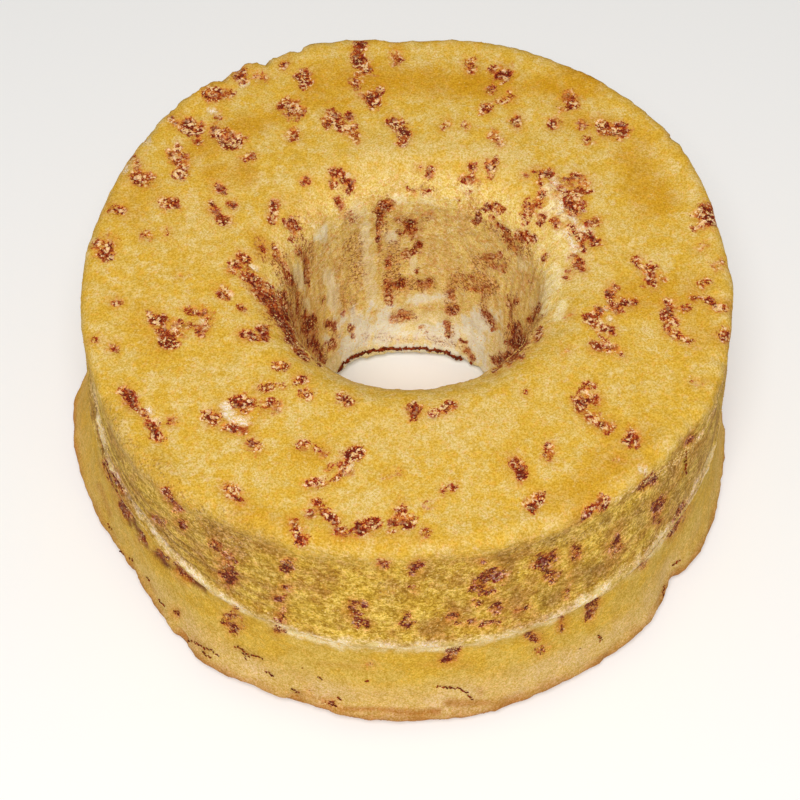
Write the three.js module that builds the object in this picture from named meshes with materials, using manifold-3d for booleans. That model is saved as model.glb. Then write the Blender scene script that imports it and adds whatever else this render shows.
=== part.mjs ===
// A ring cake with chocolate sprinkles, turned out of its pan upside down: the flat face that lay on the
// pan's bottom is now on top. It is one solid, with a flat golden top, a funnel-shaped hole, a pale ridge
// half way down the wall where the pan's two widths met, a ragged lip where the batter rose at the pan's
// edge, and sprinkles that melted into the crust.
// Millimetres, +Z up. The origin is on the table, at the centre of the cake's outline, and -Y is the front.
import * as THREE from "three";
import { mergeVertices } from "three/addons/utils/BufferGeometryUtils.js";
import Module from "manifold-3d";

// ---- Driving dimensions ----
const CAKE_HEIGHT = 107;
const RIM_RADIUS = 112; // widest point of the rounded upper edge
const RIM_ROUND = 9;
const RIDGE_RADIUS = 116.6;
const RIDGE_HEIGHT = 55;
const RIDGE_STEP = 2.2; // how far the wall drops back under the ridge
const BAND_RADIUS = 117.4; // the smooth band between ridge and lip
const LIP_RADIUS = 124;
const LIP_HEIGHT = 7;
const FOOT_OUTER = 106; // the cake stands on the flat between these two radii
const FOOT_INNER = 56;
const MOUTH_RADIUS = 61; // where the top starts to turn down into the hole
const MOUTH_DEPTH = 18;
const HOLE_TOP_RADIUS = 43;
const HOLE_FOOT_RADIUS = 38.5;
const HOLE_FOOT_HEIGHT = 4;
const HOLE_OFFSET = 2.5; // the pan's funnel stood this far right of its middle

const FACETS_ROUND = 84;

const MARKS = 54; // clusters of melted sprinkles
const GRAINS_IN_MARK = 2;
const GRAIN_LENGTH = 7;
const GRAIN_WIDTH = 4;
const GRAIN_THICKNESS = 3.4;
const GRAIN_PROUD = 0.8;
const GRAIN_SMALLEST = 0.8; // size of the smallest and the largest grain against these dimensions
const GRAIN_LARGEST = 1.3;

const { clamp, degToRad, euclideanModulo, lerp, radToDeg, smoothstep } = THREE.MathUtils;

// ---- Chance, the same on each run ----
function randomDraw(seed) {
  const FACTOR = 16807;
  const MODULUS = 2147483647;
  let state = seed;
  return () => {
    state = (state * FACTOR) % MODULUS;
    return state / MODULUS;
  };
}

// Smooth unevenness between -1 and 1 around the cake, from this many random heights in the circle.
function wobble(seed, heightsRound) {
  const draw = randomDraw(seed);
  const heights = Array.from({ length: heightsRound }, () => 2 * draw() - 1);
  return (azimuth) => {
    const place = euclideanModulo((azimuth / 360) * heightsRound, heightsRound);
    const before = Math.floor(place);
    const blend = smoothstep(place - before, 0, 1);
    return heights[before] * (1 - blend) + heights[(before + 1) % heightsRound] * blend;
  };
}

// Dents and swellings: each is [degrees round from +X, half width in degrees, millimetres outwards].
function dents(list) {
  return (azimuth) =>
    list.reduce((sum, [place, halfWidth, outwards]) => {
      const away = euclideanModulo(azimuth - place + 180, 360) - 180;
      return sum + outwards * Math.exp(-((away / halfWidth) ** 2));
    }, 0);
}

const rimDents = dents([
  [90, 9, -3.5], [48, 22, 2], [8, 9, -1.6], [-28, 9, 2], [-86, 16, -2], [-138, 14, 4], [134, 24, 2.4],
]);
const ridgeDents = dents([[-170, 60, -1.2], [-70, 70, 1.1], [110, 50, 0.6]]); // deepest at the left
const baseDents = dents([
  [176, 20, 6.5], [-147, 13, -3], [-125, 5, 2], [-108, 4, -1], [-97, 8, 1], [-37, 5, -4], [120, 14, -2],
]);
const mouthDents = dents([[5, 34, 6], [180, 34, 2], [90, 36, -8], [-90, 30, -3]]);
const WALL_SHARE_OF_MOUTH = 0.35; // how much of the mouth's unevenness the hole's own wall has
const lipWobble = wobble(11, 52);
const holeWobble = wobble(23, 20);
const topWobble = wobble(37, 7);

// ---- The outline, as radius and height, from the foot up the wall, over the top and down the hole ----
const at = (radius, height) => new THREE.Vector2(radius, height);

const ridgeFoot = at(RIDGE_RADIUS - RIDGE_STEP, RIDGE_HEIGHT - 3.6);
const lipFoot = at(LIP_RADIUS - 1, LIP_HEIGHT - 3);
const wallTop = at(RIM_RADIUS, CAKE_HEIGHT - RIM_ROUND);
const topOuter = at(RIM_RADIUS - RIM_ROUND, CAKE_HEIGHT);
const topInner = at(MOUTH_RADIUS, CAKE_HEIGHT);
const holeTop = at(HOLE_TOP_RADIUS, CAKE_HEIGHT - MOUTH_DEPTH);
const holeFoot = at(HOLE_FOOT_RADIUS, HOLE_FOOT_HEIGHT);
const footInner = at(FOOT_INNER, 0);
const footOuter = at(FOOT_OUTER, 0);

const foot = new THREE.LineCurve(footInner, footOuter);
const underLip = new THREE.QuadraticBezierCurve(footOuter, at(LIP_RADIUS - 5, 0.6), lipFoot);
const lipAndBand = new THREE.SplineCurve([
  lipFoot,
  at(LIP_RADIUS, LIP_HEIGHT),
  at(LIP_RADIUS - 1.6, LIP_HEIGHT + 5),
  at(BAND_RADIUS + 2.6, LIP_HEIGHT + 15),
  at(BAND_RADIUS, LIP_HEIGHT + 28),
  at(ridgeFoot.x + 1.2, RIDGE_HEIGHT - 8),
  ridgeFoot,
]);
const ridgeAndWall = new THREE.SplineCurve([
  ridgeFoot,
  at(RIDGE_RADIUS, RIDGE_HEIGHT),
  at(RIDGE_RADIUS - 0.8, RIDGE_HEIGHT + 4.5),
  at((RIDGE_RADIUS + RIM_RADIUS) / 2, RIDGE_HEIGHT + 20),
  wallTop,
]);
const rim = new THREE.EllipseCurve(topOuter.x, wallTop.y, RIM_ROUND, RIM_ROUND, 0, Math.PI / 2);
const top = new THREE.LineCurve(topOuter, topInner);
const mouthWidth = MOUTH_RADIUS - HOLE_TOP_RADIUS;
const mouth = new THREE.EllipseCurve(topInner.x, holeTop.y, mouthWidth, MOUTH_DEPTH, Math.PI / 2, Math.PI);
const hole = new THREE.LineCurve(holeTop, holeFoot);
const holeLip = new THREE.QuadraticBezierCurve(holeFoot, at(HOLE_FOOT_RADIUS + 2, 0.4), footInner);

// Each stretch of the outline, and the number of facets that it is cut into.
const underSide = [[foot, 1], [underLip, 2], [lipAndBand, 8]];
const crustSide = [[ridgeAndWall, 6], [rim, 4], [top, 3], [mouth, 5], [hole, 4]];
const stretches = [...underSide, ...crustSide, [holeLip, 2]];

// ---- Where a point of the round outline really lies, because a cake is only more or less round ----
function unevenPoint(radius, height, azimuth) {
  const offTable = smoothstep(height, 0, 3);
  const nearRim = smoothstep(height, RIDGE_HEIGHT, CAKE_HEIGHT - RIM_ROUND);
  const nearBase = offTable * (1 - smoothstep(height, LIP_HEIGHT, LIP_HEIGHT + 40));
  const atEdge = offTable * (1 - smoothstep(height, LIP_HEIGHT, LIP_HEIGHT + 10));
  const underRidge =
    smoothstep(height, ridgeFoot.y - 8, ridgeFoot.y) * (1 - smoothstep(height, ridgeFoot.y, RIDGE_HEIGHT));
  const outside = smoothstep(radius, MOUTH_RADIUS, topOuter.x);
  const inside = 1 - smoothstep(radius, HOLE_TOP_RADIUS, topOuter.x);
  const mouthShare = lerp(WALL_SHARE_OF_MOUTH, 1, smoothstep(radius, HOLE_TOP_RADIUS, MOUTH_RADIUS));

  const outerShift =
    nearRim * rimDents(azimuth) +
    underRidge * ridgeDents(azimuth) +
    nearBase * baseDents(azimuth) +
    atEdge * 1.2 * lipWobble(azimuth);
  const innerShift = nearRim * mouthShare * mouthDents(azimuth) + atEdge * 1.4 * holeWobble(azimuth);
  const edgeLift =
    outside * 1.3 * (1 + lipWobble(azimuth + 75)) +
    inside * 1.2 * (1 + holeWobble(azimuth + 40));

  const reach = radius + outside * outerShift + inside * innerShift;
  const turn = degToRad(azimuth);
  return new THREE.Vector3(
    reach * Math.cos(turn) + offTable * inside * HOLE_OFFSET,
    reach * Math.sin(turn),
    height + atEdge * edgeLift + nearRim * 0.5 * topWobble(azimuth),
  );
}

function cakeBody() {
  const outline = stretches.flatMap(([curve, facets]) => curve.getSpacedPoints(facets).slice(0, -1));
  outline.push(outline[0].clone());
  const body = new THREE.LatheGeometry(outline, FACETS_ROUND).rotateX(Math.PI / 2);
  const points = body.getAttribute("position");
  for (let i = 0; i < points.count; i++) {
    const azimuth = radToDeg(Math.atan2(points.getY(i), points.getX(i)));
    const moved = unevenPoint(Math.hypot(points.getX(i), points.getY(i)), points.getZ(i), azimuth);
    points.setXYZ(i, moved.x, moved.y, moved.z);
  }
  return body;
}

// ---- Melted sprinkles: low grains in short bent clusters, spread evenly over the crust that shows ----
const crust = new THREE.CurvePath();
for (const [curve] of crustSide) {
  crust.add(curve);
}

// Places that share the crust's area evenly, as a share of the way along its outline and an azimuth.
function crustPlaces(count) {
  const RINGS = 200;
  const GOLDEN_TURN = 137.508;
  const rings = crust.getSpacedPoints(RINGS);
  const area = rings.reduce((sum, ring) => sum + ring.x, 0);
  const places = [];
  let passed = 0;
  rings.forEach((ring, step) => {
    passed += ring.x;
    while (places.length < count && passed > ((places.length + 0.5) / count) * area) {
      places.push({ along: step / RINGS, azimuth: places.length * GOLDEN_TURN });
    }
  });
  return places;
}

// A point of the crust, with the directions that run round the cake, up its outline and straight out of it.
function crustFrame(along, azimuth) {
  const STEP = 0.004;
  const point = (share, degrees) => {
    const ring = crust.getPointAt(clamp(share, 0, 1));
    return unevenPoint(ring.x, ring.y, degrees);
  };
  const middle = point(along, azimuth);
  const round = point(along, azimuth + 1).sub(middle).normalize();
  const rise = point(along + STEP, azimuth).sub(point(along - STEP, azimuth));
  const out = new THREE.Vector3().crossVectors(round, rise).normalize();
  const up = new THREE.Vector3().crossVectors(out, round);
  return { middle, round, up, out };
}

function grain(along, azimuth, lean, size) {
  const { middle, round, up, out } = crustFrame(along, azimuth);
  const depth = GRAIN_THICKNESS / 2 - GRAIN_PROUD;
  const centre = middle.addScaledVector(out, -depth);
  return new THREE.IcosahedronGeometry(0.5)
    .scale(size * GRAIN_LENGTH, size * GRAIN_WIDTH, GRAIN_THICKNESS)
    .rotateZ(lean)
    .applyMatrix4(new THREE.Matrix4().makeBasis(round, up, out))
    .translate(centre.x, centre.y, centre.z);
}

function sprinkles() {
  const MOST_BEND = 0.8;
  const draw = randomDraw(61);
  return crustPlaces(MARKS).flatMap(({ along, azimuth }) => {
    const lean = Math.PI * draw();
    const bend = MOST_BEND * (2 * draw() - 1);
    const size = GRAIN_SMALLEST + (GRAIN_LARGEST - GRAIN_SMALLEST) * draw();
    const radius = crust.getPointAt(along).x;
    return Array.from({ length: GRAINS_IN_MARK }, (_, i) => {
      const fromMiddle = i - (GRAINS_IN_MARK - 1) / 2;
      const direction = lean + bend * fromMiddle;
      const shift = fromMiddle * 0.8 * size * GRAIN_LENGTH;
      const turned = radToDeg((shift * Math.cos(direction)) / radius);
      const moved = (shift * Math.sin(direction)) / crust.getLength();
      return grain(clamp(along + moved, 0, 1), azimuth + turned, direction, size);
    });
  });
}

// ---- Joining ----
const wasm = await Module();
wasm.setup();

function toSolid(geometry) {
  geometry.deleteAttribute("normal");
  geometry.deleteAttribute("uv");
  const merged = mergeVertices(geometry, 1e-3);
  const mesh = new wasm.Mesh({
    numProp: 3,
    vertProperties: merged.getAttribute("position").array,
    triVerts: new Uint32Array(merged.index.array),
  });
  return new wasm.Manifold(mesh);
}

function toGeometry(solid) {
  const { vertProperties, triVerts } = solid.getMesh();
  const geometry = new THREE.BufferGeometry();
  geometry.setAttribute("position", new THREE.BufferAttribute(vertProperties, 3));
  geometry.setIndex(new THREE.BufferAttribute(triVerts, 1));
  return geometry;
}

// The origin is the middle of the finished outline.
function centred(geometry) {
  geometry.computeBoundingBox();
  const middle = geometry.boundingBox.getCenter(new THREE.Vector3());
  return geometry.translate(-middle.x, -middle.y, 0);
}

const joined = sprinkles().reduce((solid, shape) => solid.add(toSolid(shape)), toSolid(cakeBody()));
const goldenCrust = new THREE.MeshStandardMaterial({ color: 0xdca84a, roughness: 0.85, metalness: 0 });

const cake = new THREE.Mesh(centred(toGeometry(joined)), goldenCrust);
cake.name = "cake";

const model = new THREE.Group();
model.add(cake);

export default model;
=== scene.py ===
# %% [markdown]
# # A ring cake with melted chocolate sprinkles
# The real cake is one golden sponge, turned out of its pan upside down. This lesson dresses its plain
# solid: a fine mesh takes the solid's place, with the crust's small relief, and thousands of tiny grains
# lie on it where sprinkles melted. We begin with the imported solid, because it says where the cake stands
# and how big it is.

# %% Load the plain solid
import math

import bpy
import numpy as np
from mathutils import Matrix, Vector
from mathutils.bvhtree import BVHTree


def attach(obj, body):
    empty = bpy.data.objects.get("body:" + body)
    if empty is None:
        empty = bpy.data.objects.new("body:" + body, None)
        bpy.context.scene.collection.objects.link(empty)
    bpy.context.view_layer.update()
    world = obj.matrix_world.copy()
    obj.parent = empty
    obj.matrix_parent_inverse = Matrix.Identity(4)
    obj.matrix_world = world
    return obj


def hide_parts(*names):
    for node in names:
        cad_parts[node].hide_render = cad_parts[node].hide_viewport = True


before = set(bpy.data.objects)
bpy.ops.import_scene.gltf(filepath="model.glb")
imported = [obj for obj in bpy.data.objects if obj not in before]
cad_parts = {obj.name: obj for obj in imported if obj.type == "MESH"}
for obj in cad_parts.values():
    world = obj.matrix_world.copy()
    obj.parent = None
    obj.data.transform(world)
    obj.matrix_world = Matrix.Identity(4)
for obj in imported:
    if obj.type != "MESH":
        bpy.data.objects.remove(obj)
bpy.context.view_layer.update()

# %% [markdown]
# ## The camera comes first
# The photograph looks down on the cake at 57 degrees from the front. Many places below are read off it,
# so the camera comes before the crust. All lengths in the making are millimetres, and they become metres
# only when a mesh is finished.

# %% Camera
MM = 0.001
PHOTO_SIZE = 800
FOCAL_PIXELS = 1700.0
LOOKING_DOWN = math.radians(57.07)
ROLL = math.radians(-0.53)
CAMERA_DISTANCE = 681.4
LOOKS_AT = np.array([1.02, 15.63, 0.0])
SENSOR_WIDTH = 36.0

view_forward = np.array([0.0, math.cos(LOOKING_DOWN), -math.sin(LOOKING_DOWN)])
level_right = np.array([1.0, 0.0, 0.0])
level_up = np.array([0.0, math.sin(LOOKING_DOWN), math.cos(LOOKING_DOWN)])
view_right = math.cos(ROLL) * level_right + math.sin(ROLL) * level_up
view_up = math.cos(ROLL) * level_up - math.sin(ROLL) * level_right
camera_place = LOOKS_AT - CAMERA_DISTANCE * view_forward

camera_data = bpy.data.cameras.new("camera")
camera_data.sensor_width = SENSOR_WIDTH
camera_data.lens = FOCAL_PIXELS * SENSOR_WIDTH / PHOTO_SIZE
camera_data.clip_start = 0.01
camera = bpy.data.objects.new("camera", camera_data)
bpy.context.scene.collection.objects.link(camera)
turned = Matrix([[view_right[i], view_up[i], -view_forward[i]] for i in range(3)]).to_4x4()
camera.matrix_world = Matrix.Translation(Vector(camera_place * MM)) @ turned
bpy.context.scene.camera = camera
print("camera", [round(x, 3) for x in camera.location], "lens", camera_data.lens)


# %% [markdown]
# ## Chance and noise
# A cake is uneven at every size, so we need smooth random fields. `wobble` goes round the cake, and
# `lumps` fills space: it draws a random height for each corner of a grid and blends between them. Both
# start from a seed, so that each run gives the same cake.

# %% Random fields
def smooth_step(value, low, high):
    share = np.clip((value - low) / (high - low), 0.0, 1.0)
    return share * share * (3 - 2 * share)


def random_draw(seed):
    state = seed
    while True:
        state = (state * 16807) % 2147483647
        yield state / 2147483647


def wobble(seed, heights_round):
    """Smooth unevenness from -1 to 1 around the cake, by azimuth in degrees."""
    draw = random_draw(seed)
    heights = np.array([2 * next(draw) - 1 for _ in range(heights_round)])

    def height_at(azimuth):
        place = np.mod(azimuth / 360 * heights_round, heights_round)
        before = np.floor(place).astype(int) % heights_round
        blend = smooth_step(place - np.floor(place), 0, 1)
        return heights[before] * (1 - blend) + heights[(before + 1) % heights_round] * blend

    return height_at


def dents(places):
    """Dents round the cake: each is (azimuth, half width in degrees, millimetres outwards)."""

    def height_at(azimuth):
        total = np.zeros_like(azimuth, dtype=float)
        for place, half_width, outwards in places:
            away = np.mod(azimuth - place + 180, 360) - 180
            total += outwards * np.exp(-((away / half_width) ** 2))
        return total

    return height_at


def lumps(points, size, seed):
    """Smooth random heights from -1 to 1 at points in space, with lumps of about this size."""
    scaled = points / size
    cell = np.floor(scaled).astype(np.int64)
    part = scaled - cell
    part = part * part * (3 - 2 * part)
    total = np.zeros(points.shape[:-1])
    for corner in np.ndindex(2, 2, 2):
        at = cell + np.array(corner)
        mixed = at[..., 0] * 73856093 ^ at[..., 1] * 19349663 ^ at[..., 2] * 83492791 ^ seed * 2654435761
        mixed = (mixed ^ (mixed >> 15)) * 2246822519 & 0xFFFFFFFF
        mixed = (mixed ^ (mixed >> 13)) * 3266489917 & 0xFFFFFFFF
        height = ((mixed ^ (mixed >> 16)) & 0xFFFF) / 32767.5 - 1
        weight = np.prod(np.where(np.array(corner) == 1, part, 1 - part), axis=-1)
        total += height * weight
    return total


# %% [markdown]
# ## The cake's sizes
# A cake from a ring pan is an outline turned round an axis. These are the solid's own driving sizes: a
# foot, a ragged lip, a flared band, a ridge, the wall, the rim, the flat top, the mouth and the hole.

# %% Sizes
CAKE_HEIGHT = 107.0
RIM_RADIUS = 112.0
RIM_ROUND = 9.0
RIDGE_RADIUS = 116.6
RIDGE_HEIGHT = 55.0
RIDGE_STEP = 2.2
BAND_RADIUS = 117.4
LIP_RADIUS = 124.0
LIP_HEIGHT = 7.0
FOOT_OUTER = 106.0
FOOT_INNER = 56.0
MOUTH_RADIUS = 61.0
MOUTH_DEPTH = 18.0
HOLE_TOP_RADIUS = 43.0
HOLE_FOOT_RADIUS = 38.5
HOLE_FOOT_HEIGHT = 4.0
HOLE_OFFSET = 2.5
PAN_MIDDLE = (3.43, 0.51)  # the frame's origin is the middle of the uneven outline, and the pan's lies here
print("a cake", 2 * LIP_RADIUS, "mm across and", CAKE_HEIGHT, "mm high")


# %% [markdown]
# ## Curves
# The batter ran into three kinds of curve: a free one through a few knots, a round corner, and a short
# bend. Each becomes many points, and `evenly` picks points the same distance apart, so that no face comes
# out long and thin.

# %% Curves
def spline(knots, steps=400):
    """A Catmull-Rom curve through the knots."""
    knots = np.array(knots, float)
    last = len(knots) - 1
    place = np.linspace(0, last, steps + 1)
    now = np.minimum(place.astype(int), last - 1)
    t = (place - now)[:, None]
    p0, p1 = knots[np.maximum(now - 1, 0)], knots[now]
    p2, p3 = knots[now + 1], knots[np.minimum(now + 2, last)]
    v0, v1 = (p2 - p0) / 2, (p3 - p1) / 2
    return (2 * p1 - 2 * p2 + v0 + v1) * t**3 + (3 * p2 - 3 * p1 - 2 * v0 - v1) * t**2 + v0 * t + p1


def arc(centre, across, up, start, end, steps=200):
    angle = np.radians(np.linspace(start, end, steps + 1))
    return np.stack([centre[0] + across * np.cos(angle), centre[1] + up * np.sin(angle)], axis=1)


def bend(start, control, end, steps=100):
    t = np.linspace(0, 1, steps + 1)[:, None]
    return (1 - t) ** 2 * np.array(start) + 2 * t * (1 - t) * np.array(control) + t**2 * np.array(end)


def evenly(curve, steps):
    """Points the same distance apart along a curve, without its last one."""
    length = np.concatenate([[0], np.cumsum(np.linalg.norm(np.diff(curve, axis=0), axis=1))])
    wanted = np.linspace(0, length[-1], steps + 1)[:-1]
    return np.stack([np.interp(wanted, length, curve[:, k]) for k in (0, 1)], axis=1)


print("a round corner of", len(arc((0, 0), 1, 1, 0, 90)), "points")

# %% [markdown]
# ## The outline
# Nine stretches run once round the cake's cross-section, from the foot up the outside, over the top and
# down the hole. Where they show, the steps are about 1.4 mm, and underneath a few steps are enough.

# %% Outline
ridge_foot = (RIDGE_RADIUS - RIDGE_STEP, RIDGE_HEIGHT - 3.6)
lip_foot = (LIP_RADIUS - 1, LIP_HEIGHT - 3)
wall_top = (RIM_RADIUS, CAKE_HEIGHT - RIM_ROUND)
top_outer = (RIM_RADIUS - RIM_ROUND, CAKE_HEIGHT)
top_inner = (MOUTH_RADIUS, CAKE_HEIGHT)
hole_top = (HOLE_TOP_RADIUS, CAKE_HEIGHT - MOUTH_DEPTH)
hole_foot = (HOLE_FOOT_RADIUS, HOLE_FOOT_HEIGHT)
foot_inner = (FOOT_INNER, 0)
foot_outer = (FOOT_OUTER, 0)

lip_and_band = spline([
    lip_foot,
    (LIP_RADIUS, LIP_HEIGHT),
    (LIP_RADIUS - 1.6, LIP_HEIGHT + 5),
    (BAND_RADIUS + 2.6, LIP_HEIGHT + 15),
    (BAND_RADIUS, LIP_HEIGHT + 28),
    (ridge_foot[0] + 1.2, RIDGE_HEIGHT - 8),
    ridge_foot,
])
ridge_and_wall = spline([
    ridge_foot,
    (RIDGE_RADIUS, RIDGE_HEIGHT),
    (RIDGE_RADIUS - 0.8, RIDGE_HEIGHT + 4.5),
    ((RIDGE_RADIUS + RIM_RADIUS) / 2, RIDGE_HEIGHT + 20),
    wall_top,
])
mouth_middle = (MOUTH_RADIUS, CAKE_HEIGHT - MOUTH_DEPTH)
stretches = [
    (np.array([foot_inner, foot_outer], float), 4),
    (bend(foot_outer, (LIP_RADIUS - 5, 0.6), lip_foot), 6),
    (lip_and_band, 38),
    (ridge_and_wall, 34),
    (arc((top_outer[0], wall_top[1]), RIM_ROUND, RIM_ROUND, 0, 90), 10),
    (np.array([top_outer, top_inner], float), 30),
    (arc(mouth_middle, MOUTH_RADIUS - HOLE_TOP_RADIUS, MOUTH_DEPTH, 90, 180), 20),
    (np.array([hole_top, hole_foot], float), 44),
    (bend(hole_foot, (HOLE_FOOT_RADIUS + 2, 0.4), foot_inner), 8),
]
outline = np.concatenate([evenly(curve, steps) for curve, steps in stretches])
ROWS = len(outline)
COLUMNS = 512
print("outline of", ROWS, "steps, turned", COLUMNS, "times:", 2 * ROWS * COLUMNS, "triangles")

# %% [markdown]
# ## Dents
# The pan was dented and the cake settled. The solid has these dents, so the fine mesh repeats them: a
# swollen left side, a sunken front left, a wide mouth on the right. Each is an azimuth, a half width and
# millimetres.

# %% Dents
rim_dents = dents([
    (90, 9, -3.5), (48, 22, 2), (8, 9, -1.6), (-28, 9, 2), (-86, 16, -2), (-138, 14, 4), (134, 24, 2.4),
])
ridge_dents = dents([(-170, 60, -1.2), (-70, 70, 1.1), (110, 50, 0.6)])
base_dents = dents([
    (176, 20, 6.5), (-147, 13, -3), (-125, 5, 2), (-108, 4, -1), (-97, 8, 1), (-37, 5, -4), (120, 14, -2),
])
mouth_dents = dents([(5, 34, 6), (180, 34, 2), (90, 36, -8), (-90, 30, -3)])
WALL_SHARE_OF_MOUTH = 0.35
lip_wobble = wobble(11, 52)
hole_wobble = wobble(23, 20)
top_wobble = wobble(37, 7)

print("rim moved by", rim_dents(np.array([-90.0, 0.0, 90.0])).round(1), "mm in front, right and behind")

# %% [markdown]
# ## Turning the outline
# Each array below has one row for each outline step and one column for each turn, which makes every later
# rule a line of arithmetic. Shares from 0 to 1 say where a dent works: near the rim, near the base,
# inside or outside.

# %% The uneven form
azimuth = np.broadcast_to(np.linspace(-180, 180, COLUMNS, endpoint=False), (ROWS, COLUMNS))
radius = np.broadcast_to(outline[:, :1], (ROWS, COLUMNS))
height = np.broadcast_to(outline[:, 1:], (ROWS, COLUMNS))

off_table = smooth_step(height, 0, 3)
near_rim = smooth_step(height, RIDGE_HEIGHT, CAKE_HEIGHT - RIM_ROUND)
near_base = off_table * (1 - smooth_step(height, LIP_HEIGHT, LIP_HEIGHT + 40))
at_edge = off_table * (1 - smooth_step(height, LIP_HEIGHT, LIP_HEIGHT + 10))
under_ridge = smooth_step(height, ridge_foot[1] - 8, ridge_foot[1])
under_ridge = under_ridge * (1 - smooth_step(height, ridge_foot[1], RIDGE_HEIGHT))
outside = smooth_step(radius, MOUTH_RADIUS, top_outer[0])
inside = 1 - smooth_step(radius, HOLE_TOP_RADIUS, top_outer[0])
mouth_share = smooth_step(radius, HOLE_TOP_RADIUS, MOUTH_RADIUS)
mouth_share = WALL_SHARE_OF_MOUTH + (1 - WALL_SHARE_OF_MOUTH) * mouth_share

outer_shift = near_rim * rim_dents(azimuth) + under_ridge * ridge_dents(azimuth)
outer_shift = outer_shift + near_base * base_dents(azimuth) + at_edge * 1.2 * lip_wobble(azimuth)
inner_shift = near_rim * mouth_share * mouth_dents(azimuth) + at_edge * 1.4 * hole_wobble(azimuth)
edge_lift = outside * 1.3 * (1 + lip_wobble(azimuth + 75)) + inside * 1.2 * (1 + hole_wobble(azimuth + 40))

reach = radius + outside * outer_shift + inside * inner_shift
turn = np.radians(azimuth)
plain = np.stack([
    reach * np.cos(turn) + off_table * inside * HOLE_OFFSET + PAN_MIDDLE[0],
    reach * np.sin(turn) + PAN_MIDDLE[1],
    height + at_edge * edge_lift + near_rim * 0.5 * top_wobble(azimuth),
], axis=-1)
print("plain form from", plain.min(axis=(0, 1)).round(1), "to", plain.max(axis=(0, 1)).round(1))


# %% [markdown]
# The relief will push each point straight out of the form, and rays will be cast at it, so it needs
# directions and faces too. The grid closes on itself both ways, which leaves no open edge.

# %% Directions and faces
def outward(form):
    """The direction straight out of the form at each of its points."""
    up = np.roll(form, -1, axis=0) - np.roll(form, 1, axis=0)
    around = np.roll(form, -1, axis=1) - np.roll(form, 1, axis=1)
    normal = np.cross(around, up)
    return normal / np.maximum(np.linalg.norm(normal, axis=-1, keepdims=True), 1e-9)


def quads(rows, columns):
    """The corners of each face of a grid that closes on itself both ways."""
    row, column = np.meshgrid(np.arange(rows), np.arange(columns), indexing="ij")
    next_row, next_column = (row + 1) % rows, (column + 1) % columns
    corners = [(row, column), (row, next_column), (next_row, next_column), (next_row, column)]
    return np.stack([r * columns + c for r, c in corners], axis=-1).reshape(-1, 4)


out = outward(plain)
faces = quads(ROWS, COLUMNS)
print(len(faces), "faces with four corners")

# %% [markdown]
# ## Reading places off the photograph
# Many places below are strokes read off the photograph. To find them on the cake we look at the form
# through the camera: `spot_x` and `spot_y` say where each point of the form falls in the photograph, and
# `seen` says which points are in view at all. `closeness` then tells how near each point comes to a
# stroke.

# %% From crust to photograph
form_tree = BVHTree.FromPolygons([tuple(p) for p in plain.reshape(-1, 3)], faces.tolist())
from_camera = plain - camera_place
depth = from_camera @ view_forward
spot_x = PHOTO_SIZE / 2 + FOCAL_PIXELS * (from_camera @ view_right) / depth
spot_y = PHOTO_SIZE / 2 - FOCAL_PIXELS * (from_camera @ view_up) / depth


def camera_sees(point, normal):
    to_camera = camera_place - point
    if to_camera @ normal <= 0:
        return False
    start = Vector(point + 0.6 * normal)
    return form_tree.ray_cast(start, Vector(to_camera).normalized())[0] is None


in_view = [camera_sees(*pair) for pair in zip(plain.reshape(-1, 3), out.reshape(-1, 3))]
seen = np.array(in_view).reshape(ROWS, COLUMNS)


def closeness(x, y, long, wide, lean):
    """1 on the spine of a stroke of the photograph, 0 at its edge, below 0 outside or out of view."""
    reach_x = math.cos(math.radians(lean)) * max(long - wide, 0) / 2
    reach_y = math.sin(math.radians(lean)) * max(long - wide, 0) / 2
    along = ((spot_x - x) * reach_x + (spot_y - y) * reach_y) / max(reach_x**2 + reach_y**2, 1e-9)
    share = np.clip(along, -1, 1)
    away = np.hypot(spot_x - x - share * reach_x, spot_y - y - share * reach_y)
    return np.where(seen, 1 - away / (wide / 2), -99.0)


def laid_on(strokes, ragged, low=0.0, high=0.9):
    """How far the strokes, each with its amount, cover each point; ragged frays their edges."""
    cover = np.zeros((ROWS, COLUMNS))
    for *stroke, amount in strokes:
        np.maximum(cover, amount * smooth_step(closeness(*stroke) + ragged, low, high), out=cover)
    return cover


print(round(100 * float(seen.mean())), "percent of the points are in view")

# %% [markdown]
# ## Where the sprinkles melted
# Each sprinkle sank into the batter's skin and left a broken patch of dark specks. The patches that the
# photograph shows are listed as (x, y, length, width, lean, darkness), region by region.

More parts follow.
